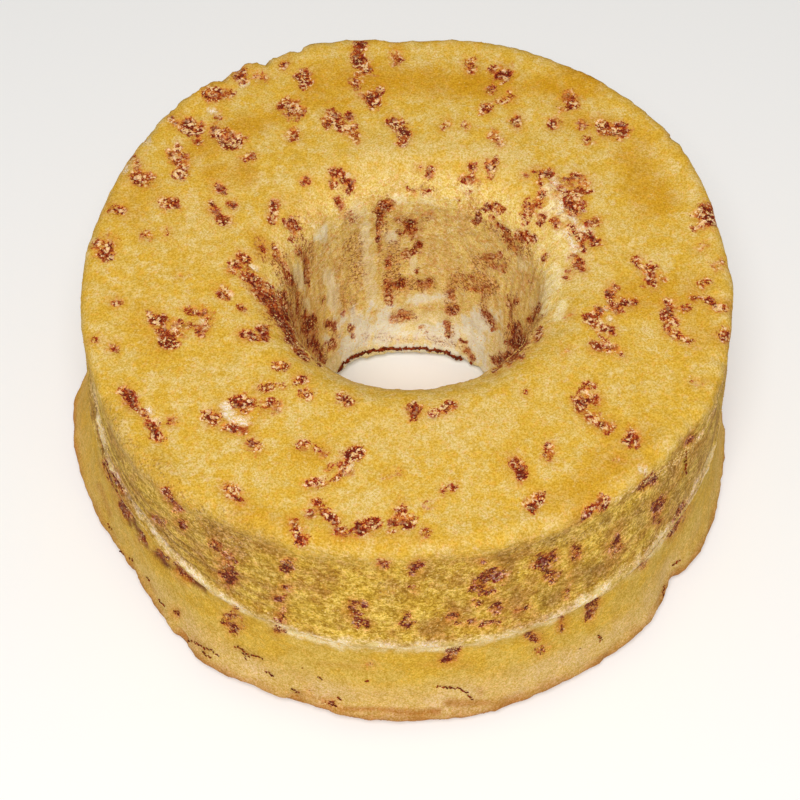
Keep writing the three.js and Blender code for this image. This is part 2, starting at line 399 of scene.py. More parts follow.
# %% Marks on the top
TOP_MARKS = [
    (241, 77, 12, 9, 0, 0.9), (260, 76, 14, 6, 5, 0.7), (219, 95, 26, 9, -10, 0.95),
    (285, 65, 10, 5, -30, 0.7), (190, 127, 26, 12, 25, 1.0), (176, 123, 9, 6, 0, 0.8),
    (199, 142, 8, 6, 0, 0.6), (231, 140, 26, 15, 20, 1.0), (216, 131, 12, 10, 20, 0.95),
    (218, 114, 9, 8, 0, 0.5), (180, 159, 28, 14, 50, 0.85), (138, 165, 10, 8, 40, 0.7),
    (178, 175, 9, 8, 0, 0.7), (141, 178, 22, 12, 8, 0.9), (132, 158, 10, 6, 30, 0.5),
    (168, 202, 20, 11, 5, 0.7), (219, 188, 15, 8, 30, 0.7), (213, 209, 14, 9, 60, 0.8),
    (225, 220, 13, 9, 15, 0.8), (232, 205, 8, 8, 0, 0.8), (116, 210, 19, 8, 8, 0.6),
    (146, 235, 15, 8, 10, 0.5), (167, 232, 10, 7, 0, 0.45), (107, 246, 24, 15, 125, 1.0),
    (248, 157, 15, 8, -15, 0.6), (293, 136, 14, 12, 0, 0.8), (294, 109, 20, 17, 40, 1.0),
    (304, 81, 20, 13, 70, 0.8), (359, 55, 18, 12, 60, 0.9), (363, 68, 22, 14, 60, 1.0),
    (358, 75, 8, 8, 0, 0.8), (357, 84, 14, 12, 0, 0.6), (372, 97, 17, 12, 60, 0.9), (363, 95, 8, 6, 0, 0.8),
    (380, 90, 9, 8, 0, 0.7), (397, 58, 15, 10, 80, 0.7), (331, 118, 16, 14, 0, 0.95),
    (334, 184, 8, 8, 0, 0.8), (350, 116, 7, 6, 0, 0.9), (344, 129, 22, 11, 25, 0.6),
    (355, 133, 18, 8, 70, 0.7), (393, 121, 14, 10, 20, 0.9), (403, 133, 22, 13, 75, 1.0),
    (471, 67, 16, 13, 90, 0.75), (503, 74, 18, 17, 0, 1.0), (491, 90, 13, 8, 20, 0.6),
    (504, 100, 18, 9, 5, 0.5), (487, 109, 11, 9, 0, 0.8), (511, 96, 10, 5, 60, 0.7),
    (517, 121, 15, 9, 80, 0.9), (445, 125, 14, 6, 130, 0.5), (467, 126, 10, 5, 20, 0.4),
    (497, 138, 18, 9, 50, 0.75), (571, 100, 16, 15, 0, 0.9), (561, 109, 8, 6, 0, 0.6),
    (555, 124, 14, 9, -10, 0.85), (583, 124, 13, 9, 0, 0.6), (603, 124, 14, 9, 20, 0.85),
    (613, 130, 29, 13, -5, 1.0), (588, 140, 11, 8, 0, 0.5), (668, 138, 8, 7, 0, 1.0),
    (702, 220, 20, 12, 80, 1.0), (700, 249, 9, 8, 0, 0.45), (716, 268, 9, 7, 90, 0.5),
    (704, 284, 13, 7, -20, 0.6), (694, 298, 8, 5, 0, 0.8), (713, 306, 22, 7, 28, 0.85),
    (638, 260, 11, 9, 40, 0.7), (652, 276, 24, 15, 55, 0.9), (640, 266, 12, 6, 60, 0.7),
    (670, 307, 16, 10, 0, 0.95), (684, 309, 12, 8, 0, 0.6), (670, 321, 15, 8, 10, 0.8),
    (676, 334, 14, 8, 30, 0.6), (668, 331, 9, 8, 0, 0.85), (687, 340, 12, 7, 15, 0.6),
    (720, 337, 11, 8, 80, 0.85), (696, 383, 14, 5, 5, 0.4), (611, 293, 16, 10, 90, 0.9),
    (614, 307, 17, 15, 40, 1.0), (625, 303, 14, 7, 10, 0.9), (597, 316, 22, 11, -50, 1.0),
    (608, 329, 16, 14, 0, 0.85), (629, 302, 14, 8, 10, 1.0), (612, 348, 13, 9, 0, 0.7),
    (597, 348, 15, 9, 5, 0.9), (620, 353, 12, 6, 30, 0.6), (589, 388, 16, 10, -10, 0.6),
    (594, 398, 16, 10, 15, 0.95), (580, 405, 20, 11, 65, 1.0), (590, 418, 16, 11, 40, 0.9),
    (604, 425, 22, 11, 22, 0.8), (633, 438, 19, 12, 30, 0.85), (618, 460, 9, 5, -20, 0.5),
    (549, 453, 20, 8, 100, 0.7), (518, 469, 24, 9, 62, 1.0), (537, 499, 16, 10, 125, 0.85),
    (533, 505, 16, 12, 125, 1.0), (592, 507, 26, 9, -30, 1.0), (584, 516, 12, 5, -30, 0.8),
    (647, 483, 22, 9, -30, 0.8), (689, 441, 12, 7, -45, 0.85), (116, 302, 11, 8, -30, 0.8),
    (113, 346, 9, 8, 0, 0.7), (97, 342, 6, 5, 0, 0.7), (158, 321, 20, 13, 35, 0.9),
    (166, 337, 24, 16, 70, 1.0), (176, 329, 18, 12, 60, 0.8), (186, 327, 10, 6, 0, 0.6),
    (191, 309, 14, 9, 20, 0.55), (204, 315, 18, 10, 50, 0.95), (204, 328, 18, 10, 120, 0.95),
    (193, 324, 12, 9, 0, 0.5), (222, 292, 16, 11, 60, 0.7), (241, 307, 9, 6, 40, 0.5),
    (248, 337, 16, 6, 5, 0.9), (179, 275, 9, 6, 0, 0.3), (281, 365, 14, 7, 10, 0.8),
    (264, 387, 17, 8, -8, 0.8), (279, 387, 12, 6, 5, 0.4), (129, 398, 26, 10, 70, 1.0),
    (141, 411, 16, 5, 40, 0.8), (153, 426, 14, 9, 50, 0.8), (157, 435, 14, 10, 50, 1.0),
    (170, 421, 14, 8, -20, 0.7), (212, 417, 17, 13, -15, 0.95), (243, 402, 24, 11, 10, 0.95),
    (236, 428, 28, 8, 15, 0.85), (254, 445, 20, 10, 50, 0.8), (271, 406, 24, 10, 8, 0.6),
    (212, 424, 12, 5, 20, 0.6), (307, 393, 13, 9, 20, 0.8), (300, 379, 15, 9, 0, 0.95),
    (346, 400, 18, 9, 35, 0.85), (415, 411, 18, 12, 20, 1.0), (432, 413, 14, 7, 0, 0.6),
    (449, 408, 16, 8, -35, 0.8), (303, 446, 12, 7, 15, 0.6), (320, 451, 16, 6, 25, 0.55),
    (331, 468, 8, 6, 0, 0.7), (340, 464, 14, 8, -40, 0.6), (352, 455, 22, 11, -45, 1.0),
    (348, 469, 10, 7, 0, 0.7), (338, 477, 13, 7, -55, 0.7), (315, 484, 24, 9, -10, 0.6),
    (393, 474, 20, 4, -18, 0.45), (230, 490, 18, 10, 25, 1.0), (236, 498, 20, 9, 30, 0.9),
    (319, 505, 18, 9, 40, 0.85), (310, 513, 10, 8, 0, 0.85), (332, 519, 16, 7, 35, 0.9),
    (340, 533, 16, 8, 20, 0.9), (356, 532, 16, 8, 10, 0.8), (366, 526, 22, 12, -10, 1.0),
    (376, 526, 12, 6, -10, 0.7), (401, 511, 20, 10, 80, 0.8), (402, 521, 22, 13, 15, 1.0),
    (392, 531, 9, 7, 0, 0.7), (423, 534, 11, 7, -50, 0.6), (296, 527, 16, 6, 60, 0.9),
    (302, 537, 12, 8, 50, 0.95), (292, 519, 6, 5, 0, 0.8), (448, 488, 18, 8, -30, 0.5),
    (429, 505, 14, 9, -45, 0.3), (525, 393, 4, 4, 0, 0.6), (566, 352, 12, 4, -20, 0.35),
]
print(len(TOP_MARKS), "marks on the top")

# %% [markdown]
# The outer wall has fewer and smaller patches, seen at a slant, and the hole's wall has long streaks
# where sprinkles slid down the pan's funnel while the batter was poured.

# %% Marks on the wall and in the hole
WALL_MARKS = [
    (288, 566, 16, 11, 95, 0.8), (285, 588, 10, 8, 0, 0.85), (279, 598, 11, 5, 0, 0.8),
    (280, 620, 26, 7, 100, 0.85), (384, 563, 12, 9, 0, 1.0), (418, 562, 10, 8, -60, 1.0),
    (414, 570, 11, 8, -60, 1.0), (414, 589, 12, 6, 90, 0.4), (352, 606, 14, 10, -60, 0.95),
    (366, 624, 11, 7, 45, 0.8), (355, 617, 20, 9, 55, 0.95), (362, 606, 14, 7, 20, 0.8),
    (407, 614, 9, 6, 90, 0.6), (406, 623, 11, 9, 0, 0.75), (483, 564, 6, 5, 0, 0.8),
    (496, 576, 22, 11, -5, 1.0), (480, 585, 20, 9, -20, 0.75), (487, 591, 14, 7, 0, 0.8),
    (496, 609, 14, 8, -50, 0.9), (477, 602, 12, 5, 30, 0.5), (453, 617, 13, 7, -30, 1.0),
    (460, 624, 12, 4, 20, 0.5), (472, 623, 12, 6, 10, 0.8), (489, 624, 22, 6, -5, 0.8),
    (522, 610, 17, 4, -20, 0.8), (549, 559, 22, 9, -15, 1.0), (551, 574, 16, 12, -30, 0.95),
    (535, 566, 7, 5, 0, 0.7), (575, 553, 16, 8, 105, 0.85), (568, 586, 30, 4, 97, 0.45),
    (614, 547, 18, 10, -40, 0.6), (616, 541, 12, 6, -50, 0.7), (656, 505, 11, 9, 0, 0.95),
    (655, 515, 18, 7, 85, 0.8), (660, 500, 9, 5, -30, 0.8), (683, 509, 13, 7, -30, 0.95),
    (678, 522, 20, 8, 110, 0.85), (671, 532, 14, 6, 110, 0.8), (592, 608, 26, 7, 110, 0.85),
    (562, 622, 18, 6, 95, 0.85), (534, 637, 14, 8, 20, 0.9), (543, 649, 16, 6, -40, 0.55),
    (451, 656, 18, 9, -35, 1.0), (444, 660, 8, 5, -20, 0.8), (369, 665, 10, 6, 0, 0.45),
    (641, 563, 10, 6, -45, 0.85), (169, 493, 16, 8, 60, 1.0), (176, 504, 20, 8, 65, 0.9),
    (182, 524, 12, 7, 60, 0.9), (158, 521, 18, 7, 30, 0.6), (227, 562, 24, 15, 75, 0.75),
    (228, 577, 16, 11, 50, 0.85), (215, 545, 14, 8, 60, 0.75), (114, 479, 14, 7, 60, 0.9),
    (118, 490, 16, 8, 65, 0.9), (124, 510, 20, 6, 60, 0.85), (142, 539, 12, 7, 50, 0.6),
    (106, 467, 12, 5, 65, 0.9), (162, 556, 16, 6, 40, 0.7), (184, 575, 18, 8, 40, 1.0),
    (178, 566, 12, 5, 40, 0.8), (235, 612, 18, 8, 100, 0.7), (227, 621, 14, 7, 80, 0.9),
    (232, 628, 14, 10, 60, 0.85), (240, 621, 16, 6, 80, 0.5), (284, 625, 12, 8, 100, 0.7),
    (176, 613, 6, 5, 0, 0.9), (331, 703, 12, 8, 0, 0.5), (310, 690, 5, 4, 0, 0.4),
]
HOLE_MARKS = [
    (273, 213, 22, 7, 98, 1.0), (277, 202, 8, 8, 0, 0.7), (292, 226, 15, 11, 60, 0.95),
    (290, 239, 10, 8, 60, 0.5), (302, 256, 22, 8, 60, 0.7), (308, 270, 22, 5, 88, 0.7),
    (309, 282, 10, 6, 70, 0.8), (262, 248, 12, 6, 80, 0.55), (277, 253, 18, 7, 75, 0.75),
    (288, 274, 28, 6, 70, 0.75), (298, 302, 24, 5, 85, 0.6), (243, 257, 15, 9, 20, 0.9),
    (244, 411, 9, 5, 0, 0.7), (233, 266, 16, 8, -60, 0.8), (252, 279, 22, 12, 45, 1.0),
    (262, 291, 22, 13, 45, 1.0), (262, 290, 64, 15, 50, 0.42), (286, 322, 52, 14, 62, 0.42),
    (274, 304, 24, 15, 50, 1.0), (283, 301, 20, 11, 80, 1.0), (281, 313, 30, 15, 62, 1.0),
    (289, 330, 24, 10, 65, 1.0), (297, 345, 22, 8, 62, 0.9), (304, 352, 18, 8, 55, 0.95),
    (308, 325, 22, 12, 95, 1.0), (331, 325, 12, 9, 30, 0.75), (333, 345, 12, 8, -50, 0.9),
    (314, 345, 18, 8, 60, 0.85), (320, 358, 12, 7, 55, 0.85), (350, 329, 9, 6, 60, 0.95),
    (353, 337, 5, 4, 60, 0.6), (344, 313, 8, 5, -60, 0.5), (323, 302, 8, 6, 0, 0.6),
    (263, 332, 14, 9, 80, 0.95), (246, 334, 15, 6, 8, 0.95), (240, 307, 8, 5, 20, 0.4),
    (337, 174, 14, 8, 0, 0.85), (343, 178, 14, 9, 60, 0.9), (350, 184, 18, 10, 60, 0.85),
    (351, 191, 10, 3, 0, 1.0), (306, 180, 10, 9, 0, 0.6), (339, 202, 10, 9, 0, 0.8),
    (346, 214, 16, 12, 60, 0.3), (356, 219, 14, 12, 0, 0.22), (385, 204, 16, 9, 10, 1.0),
    (380, 216, 18, 8, 95, 0.95), (378, 232, 22, 4, 90, 0.8), (379, 245, 18, 4, 90, 0.5),
    (388, 262, 14, 6, 90, 0.65), (393, 285, 26, 9, -8, 0.95), (388, 296, 16, 8, 60, 0.6),
    (409, 229, 20, 15, 75, 1.0), (404, 235, 9, 8, 0, 1.0), (398, 222, 7, 7, 0, 0.7), (418, 247, 8, 6, 0, 1.0),
    (411, 253, 20, 6, -20, 0.8), (417, 272, 7, 6, 0, 0.85), (405, 314, 16, 8, 10, 0.6),
    (397, 318, 14, 8, 0, 0.45), (427, 284, 16, 10, 0, 0.55), (429, 174, 16, 7, -65, 0.8),
    (420, 169, 3, 3, 0, 1.0), (427, 192, 10, 4, 0, 0.6), (410, 190, 14, 7, 20, 0.5),
    (427, 218, 14, 12, 0, 0.35), (468, 180, 14, 10, 0, 0.9), (472, 168, 12, 9, 60, 0.75),
    (468, 192, 8, 4, 0, 0.6), (490, 164, 14, 9, 0, 0.85), (490, 174, 12, 6, -60, 0.5),
    (459, 203, 6, 6, 0, 0.5), (458, 213, 3, 3, 0, 0.8), (491, 209, 18, 11, 10, 1.0), (502, 209, 8, 4, 0, 0.9),
    (491, 218, 8, 5, 60, 0.9), (477, 220, 14, 7, 100, 0.8), (502, 229, 18, 4, 35, 0.9),
    (506, 238, 10, 7, 60, 0.6), (521, 236, 14, 9, 10, 0.9), (530, 241, 12, 8, -40, 0.8),
    (513, 251, 16, 7, 50, 0.6), (528, 209, 20, 12, 80, 0.8), (540, 200, 18, 7, 100, 1.0),
    (541, 220, 16, 7, 110, 0.95), (526, 222, 10, 7, 0, 0.8), (546, 173, 16, 10, 10, 0.8),
    (540, 179, 16, 5, 90, 0.8), (551, 178, 10, 5, 80, 0.7), (534, 171, 4, 4, 0, 1.0),
    (526, 175, 8, 5, 0, 0.8), (557, 196, 10, 4, 20, 0.7), (560, 187, 8, 5, 60, 0.8),
    (577, 196, 34, 20, 95, 0.85), (567, 198, 18, 8, 75, 0.8), (578, 178, 14, 8, 10, 0.9),
    (584, 183, 16, 10, 20, 0.8), (575, 210, 18, 10, 10, 0.8), (556, 223, 14, 8, 60, 0.9),
    (572, 228, 14, 7, 50, 0.9), (586, 236, 16, 9, 0, 1.0), (592, 222, 18, 8, 0, 0.75),
    (595, 243, 14, 7, -20, 0.8), (582, 247, 10, 6, 60, 0.9), (575, 259, 16, 9, 50, 1.0),
    (582, 268, 8, 5, 60, 0.9), (567, 274, 12, 6, -60, 0.8), (492, 256, 22, 7, -10, 0.7),
    (470, 278, 24, 8, 0, 0.25), (478, 288, 26, 11, 10, 0.35), (496, 268, 20, 7, 10, 0.5),
    (545, 257, 12, 8, 80, 0.65), (451, 293, 14, 7, 80, 0.75), (452, 309, 12, 9, 0, 0.9),
    (448, 328, 16, 5, 80, 0.8), (489, 318, 22, 5, 60, 0.85), (494, 328, 5, 5, 0, 0.9),
    (507, 300, 10, 5, 60, 0.6), (516, 302, 12, 5, 0, 0.6), (510, 314, 24, 4, 90, 0.5),
    (515, 334, 24, 8, 95, 0.95), (519, 347, 24, 12, 110, 1.0), (513, 357, 16, 9, 150, 0.9),
    (502, 360, 18, 10, -10, 1.0), (494, 371, 7, 4, 0, 0.8), (535, 312, 20, 6, -60, 0.95),
    (530, 320, 8, 5, 0, 1.0), (539, 334, 18, 5, -60, 0.7), (531, 281, 8, 5, -40, 0.4),
    (464, 341, 10, 5, 30, 0.8), (470, 353, 16, 7, 50, 0.7), (569, 315, 12, 3, -15, 0.5),
    (424, 327, 12, 2, 20, 0.7), (504, 343, 4, 4, 0, 0.8),
]
print(len(WALL_MARKS), "on the wall and", len(HOLE_MARKS), "in the hole")

# %% [markdown]
# The back of the cake isn't in the photograph, so its patches are drawn by chance: the same number on
# each square centimetre, each a bent chain of one to three strokes. A draw that lands where the camera
# sees is thrown away, because the photograph has already said what is there.

# %% Marks where the photograph doesn't look
UNSEEN_MARKS = 300
rng = np.random.default_rng(7)
row_step = np.linalg.norm(np.roll(plain, -1, axis=0) - plain, axis=-1)
column_step = np.linalg.norm(np.roll(plain, -1, axis=1) - plain, axis=-1)
area = row_step * column_step
crust_rows = (height[:, 0] > LIP_HEIGHT + 12) | (radius[:, 0] < MOUTH_RADIUS) & (height[:, 0] > 12)
crust_area = area * crust_rows[:, None]


def pick_places(weight, count):
    """Random rows and columns of the grid, with a chance in proportion to the weight."""
    chance = weight.reshape(-1) / weight.sum()
    chosen = rng.choice(chance.size, size=count, p=chance)
    return chosen // COLUMNS, chosen % COLUMNS


unseen_strokes = []
for row, column in zip(*pick_places(crust_area, UNSEEN_MARKS)):
    if seen[row, column]:
        continue
    place, normal = plain[row, column], out[row, column]
    across = np.cross(normal, [0, 0, 1.0] if abs(normal[2]) < 0.9 else [1.0, 0, 0])
    across /= np.linalg.norm(across)
    upward = np.cross(normal, across)
    lean, curl = rng.uniform(0, math.pi), rng.uniform(-0.9, 0.9)
    dark = rng.uniform(0.5, 1.0)
    for _ in range(rng.integers(1, 4)):
        wide = rng.uniform(1.2, 2.6)
        step = (math.cos(lean) * across + math.sin(lean) * upward) * rng.uniform(1.5, 4.5)
        unseen_strokes.append(((place, place + step, wide), dark))
        place = place + step
        lean += curl
print(len(unseen_strokes), "strokes drawn by chance")

# %% [markdown]
# ## Masks
# Every finish below needs to know where it goes. A mask is a number from 0 to 1 at each point of the
# form, such as how much sprinkle there is, or how torn the crust. The mesh carries the masks to the
# material as attributes.

# %% Sprinkle masks
SWOLLEN = 1.35  # melted chocolate spreads past the stroke it was read as
SWOLLEN_IN_HOLE = 1.3
HALO_PIXELS = 9
HALO_WIDTH = 3.2
ragged_edge = 0.5 * lumps(plain, 2.8, 3) + 0.3 * lumps(plain, 1.4, 4)
grown_marks = []
wide_marks = []
for marks, growth in ((TOP_MARKS + WALL_MARKS, SWOLLEN), (HOLE_MARKS, SWOLLEN_IN_HOLE)):
    for x, y, long, wide, lean, dark in marks:
        grown = (growth - 1) * wide
        grown_marks.append((x, y, long + grown, wide + grown, lean, dark))
        wide_marks.append((x, y, long + 2 * HALO_PIXELS, wide + 2 * HALO_PIXELS, lean, dark))
sprinkle = laid_on(grown_marks, 1.2 * ragged_edge, -0.25, 0.65)
halo = laid_on(wide_marks, 0.0)

for (start, end, half_width), dark in unseen_strokes:
    middle, span = (start + end) / 2, np.linalg.norm(end - start) / 2 + half_width + 2 * HALO_WIDTH
    near = (np.linalg.norm(plain - middle, axis=-1) < span) & ~seen
    along = end - start
    share = np.clip((plain[near] - start) @ along / (along @ along), 0, 1)
    away = np.linalg.norm(plain[near] - start - share[:, None] * along, axis=-1)
    ink = smooth_step(1 - away / half_width + 1.2 * ragged_edge[near], -0.25, 0.65)
    stain = smooth_step(1 - away / (half_width + HALO_WIDTH), 0.0, 0.9)
    sprinkle[near] = np.maximum(sprinkle[near], dark * ink)
    halo[near] = np.maximum(halo[near], dark * stain)
covered = (area * (sprinkle > 0.3)).sum() / area.sum()
print("sprinkle covers", round(100 * float(covered), 1), "percent of the skin")

# %% [markdown]
# Where a sprinkle clung to the pan it tore the crust away, and the pale crumb shows. The hole's wall is pale
# too, because the funnel baked it least, and its foot is nearly white; in the finish its gold is made lighter
# still, as painted light that offsets the shade inside the hole.

# %% Torn and pale masks
TORN_PATCHES = [
    (228, 411, 22, 13, 65), (238, 420, 22, 10, 10), (149, 410, 9, 6, 30), (156, 421, 12, 6, 20),
    (232, 140, 18, 8, 10), (223, 137, 12, 6, 0), (574, 222, 26, 8, 70), (562, 200, 30, 8, 100),
    (555, 183, 18, 8, 60), (586, 228, 16, 8, 30), (612, 303, 10, 6, 60), (610, 318, 10, 6, 90),
    (348, 468, 14, 7, -45), (318, 481, 14, 6, -30), (368, 528, 8, 4, 0), (401, 131, 10, 5, 60),
    (615, 131, 10, 4, 0), (571, 240, 30, 8, 65), (245, 84, 10, 6, 0), (212, 110, 12, 6, 0),
    (254, 267, 10, 5, 45), (280, 320, 8, 4, 60), (204, 322, 10, 6, 60), (640, 470, 10, 5, 30),
    (432, 414, 10, 5, 0), (148, 142, 8, 4, -20), (126, 170, 10, 4, -60), (583, 210, 8, 5, 60),
    (606, 308, 7, 5, 60), (601, 322, 8, 5, 60), (607, 344, 8, 4, 0), (176, 324, 6, 4, 0),
    (348, 175, 8, 5, 40), (590, 232, 8, 5, 0),
]
CREAM_WALL = [
    (322, 234, 18, 16, 0, 0.75), (355, 215, 30, 20, 60, 0.35), (366, 240, 44, 14, 88, 0.6),
    (391, 238, 18, 14, 80, 0.7), (400, 197, 18, 12, 0, 0.5), (413, 265, 22, 8, 90, 0.5),
    (300, 277, 30, 10, 72, 0.6), (307, 305, 14, 9, 80, 0.6), (333, 292, 44, 14, 85, 0.65),
    (327, 340, 14, 9, 60, 0.9), (372, 330, 70, 44, -10, 1.0), (352, 328, 36, 30, 60, 1.0),
    (410, 330, 60, 30, 0, 0.8), (440, 335, 50, 28, 10, 0.9), (346, 352, 34, 16, 70, 1.0),
    (430, 297, 50, 12, -5, 0.8), (480, 325, 40, 32, 30, 0.95), (474, 345, 44, 18, 60, 0.9),
    (458, 352, 34, 12, 40, 0.9), (485, 364, 20, 10, 80, 0.9), (370, 280, 50, 16, 85, 0.4),
    (425, 345, 70, 14, 0, 1.0), (550, 195, 30, 14, 70, 0.6), (545, 215, 20, 12, 100, 0.6),
    (560, 212, 26, 10, 60, 0.6), (565, 245, 44, 14, 60, 0.4), (465, 188, 18, 10, 0, 0.5),
    (550, 290, 60, 20, 115, 0.35), (560, 310, 30, 12, 110, 0.35), (427, 200, 20, 16, 0, 0.35),
    (520, 262, 20, 10, 60, 0.3), (500, 340, 26, 10, 60, 0.5),
]
run_edge = 0.5 * lumps(plain * [1, 1, 0.35], 3.4, 36) + 0.3 * lumps(plain, 1.6, 37)
torn = laid_on([(*patch, 1.0) for patch in TORN_PATCHES], 0.8 * ragged_edge, 0.0, 0.4)
cream = laid_on(CREAM_WALL, ragged_edge + run_edge, -0.1, 0.5)
in_hole = smooth_step(MOUTH_RADIUS - 7 - radius, 0, 11)
hole_foot_pale = in_hole * (1 - smooth_step(height + 9 * lumps(plain, 11, 5), 14, 38))
cream = np.maximum(cream, 0.85 * hole_foot_pale * np.where(seen, 0.55, 1.0))
print("torn", round(float((area * torn).sum()) / 100, 1), "square centimetres")

# %% [markdown]
# The oven didn't brown the top evenly. The photograph shows amber clouds along the back and beside some
# marks, and paler, greyer ground round the mouth. Where it doesn't look, noise makes the clouds.

# %% Amber and pale clouds
AMBER_CLOUDS = [
    (450, 85, 330, 50, 0, 1.0), (600, 470, 150, 60, -40, 0.6), (240, 130, 130, 44, -20, 0.9),
    (340, 100, 120, 40, 0, 0.7), (640, 180, 110, 56, 60, 0.8), (660, 295, 110, 50, 0, 0.7),
    (310, 450, 60, 40, 0, 0.6), (320, 212, 80, 34, 10, 0.45), (262, 245, 60, 30, 60, 0.8),
    (150, 330, 90, 60, 60, 0.5), (235, 410, 90, 60, 0, 0.5), (520, 470, 60, 44, 40, 0.4),
    (140, 200, 70, 44, -50, 0.6), (600, 420, 80, 44, 60, 0.5), (270, 520, 90, 30, 20, 0.6),
    (225, 172, 70, 36, 0, 0.8), (200, 150, 60, 40, 0, 0.7), (700, 330, 60, 40, 80, 0.5),
    (390, 540, 160, 26, 0, 0.4), (610, 130, 110, 40, 20, 0.6),
]
PALE_CLOUDS = [
    (440, 150, 200, 40, 0, 0.8), (200, 240, 120, 80, 60, 0.4), (440, 430, 180, 60, -5, 0.5),
    (230, 170, 70, 40, 10, 0.4), (575, 245, 120, 60, 65, 1.0), (300, 200, 60, 60, 0, 0.3),
    (560, 330, 60, 60, 0, 0.4), (370, 500, 90, 40, 0, 0.4), (190, 380, 60, 50, 0, 0.3),
    (620, 240, 60, 50, 0, 0.3), (400, 175, 90, 30, 0, 0.5), (505, 160, 70, 40, 0, 0.5),
]
cloud_edge = 0.35 * lumps(plain, 16, 31) + 0.25 * lumps(plain, 7, 32)
amber_unseen = 0.8 * smooth_step(lumps(plain, 36, 33), 0.0, 0.5)
pale_unseen = 0.6 * smooth_step(lumps(plain, 30, 34), 0.1, 0.6)
amber = np.where(seen, laid_on(AMBER_CLOUDS, cloud_edge), amber_unseen)
pale = np.where(seen, laid_on(PALE_CLOUDS, cloud_edge), pale_unseen)
print("amber", round(float(amber.mean()), 2), "pale", round(float(pale.mean()), 2))

# %% [markdown]
# In the hole, chocolate also smeared thinly along the wall as the cake left the pan. These smears are
# soft and wide, orange-brown, and lie under the streaks.

# %% Smears in the hole
SMEARS = [
    (262, 248, 34, 20, 80, 0.6), (290, 285, 74, 22, 65, 0.65), (355, 258, 60, 34, 90, 0.45),
    (390, 265, 60, 22, 88, 0.75), (415, 285, 46, 18, 0, 0.95), (405, 316, 36, 14, 0, 0.7),
    (350, 292, 50, 36, 90, 0.3), (475, 283, 60, 28, 10, 0.9), (490, 262, 44, 22, 0, 0.65),
    (450, 300, 36, 16, 85, 0.75), (450, 325, 26, 10, 80, 0.5), (467, 350, 22, 10, 50, 0.6),
    (512, 320, 60, 18, 95, 0.65), (530, 330, 50, 18, 115, 0.55), (500, 358, 22, 12, 0, 0.6),
    (515, 245, 40, 20, 40, 0.6), (487, 315, 36, 10, 70, 0.5), (408, 226, 26, 20, 70, 0.4),
    (384, 215, 50, 18, 95, 0.45), (345, 212, 40, 24, 60, 0.4), (310, 328, 40, 24, 80, 0.55),
    (332, 330, 24, 14, 60, 0.5), (320, 352, 28, 14, 55, 0.55), (297, 300, 60, 18, 70, 0.65),
    (268, 300, 100, 26, 55, 0.6), (303, 240, 60, 16, 70, 0.5), (341, 180, 34, 20, 50, 0.35),
    (425, 190, 34, 18, 0, 0.3), (470, 182, 30, 18, 0, 0.35), (400, 336, 80, 12, 0, 0.3),
    (442, 340, 50, 12, 12, 0.4), (565, 200, 84, 40, 60, 0.35), (500, 232, 50, 18, 30, 0.4),
    (470, 215, 40, 16, 100, 0.25),
]
smear_unseen = smooth_step(lumps(plain * [1, 1, 0.3], 12, 38) + 0.4 * run_edge, 0.2, 0.7)
smear = np.where(seen, laid_on(SMEARS, run_edge, 0.0, 0.8), 0.6 * in_hole * smear_unseen)
print("smeared", round(float((area * smear).sum()) / 100, 1), "square centimetres")

# %% [markdown]
# ## The ridge
# Half way down the wall runs a broken pale ridge, where the batter crept into a joint of the pan. Its pale
# line is partly the crumb's own colour and partly painted highlight, where the crest catches the light. On
# the left a crevice lies under it, and its darkness is painted shadow. Both are ways: chains of strokes, each
# spot with its own width.

# %% Ridge and crevice
CREVICE_WAY = [
    (94, 400, 2), (99, 440, 3), (105, 462, 5), (114, 483, 9), (124, 506, 10), (133, 524, 8), (147, 546, 7),
    (164, 563, 7), (186, 576, 8), (204, 590, 4),
]
PALE_RIDGE_WAY = [
    (92, 384, 4), (99, 428, 6), (110, 466, 6), (125, 491, 5), (140, 513, 6), (162, 543, 6), (186, 567, 6),
    (213, 588, 7), (236, 604, 8), (266, 619, 9), (300, 634, 10), (340, 643, 11), (385, 647, 12),
    (440, 647, 12), (490, 639, 10), (547, 621, 9), (572, 606, 9), (607, 586, 12), (628, 571, 11),
    (657, 544, 8), (681, 515, 5), (698, 480, 4), (713, 450, 3),
]
# Spots where the ridge's pale line is brightest and gets the most painted highlight.
RIDGE_HIGHLIGHTS = [
    (360, 642, 200, 30, 5, 1.0), (100, 432, 40, 20, 75, 1.0), (112, 470, 26, 16, 60, 1.0),
    (212, 588, 90, 22, 38, 1.0), (575, 606, 90, 24, -25, 1.0), (655, 545, 60, 24, -50, 0.9),
    (500, 638, 60, 20, -8, 0.8), (150, 530, 60, 20, 55, 0.6), (704, 470, 60, 14, -65, 0.5),
]


def closeness_to_way(way):
    """The nearest of the strokes that join the spots of a way: each spot is (x, y, width)."""
    nearest = np.full((ROWS, COLUMNS), -99.0)
    for (x0, y0, wide), (x1, y1, _) in zip(way, way[1:]):
        long = math.hypot(x1 - x0, y1 - y0) + wide
        lean = math.degrees(math.atan2(y1 - y0, x1 - x0))
        np.maximum(nearest, closeness((x0 + x1) / 2, (y0 + y1) / 2, long, wide, lean), out=nearest)
    return nearest


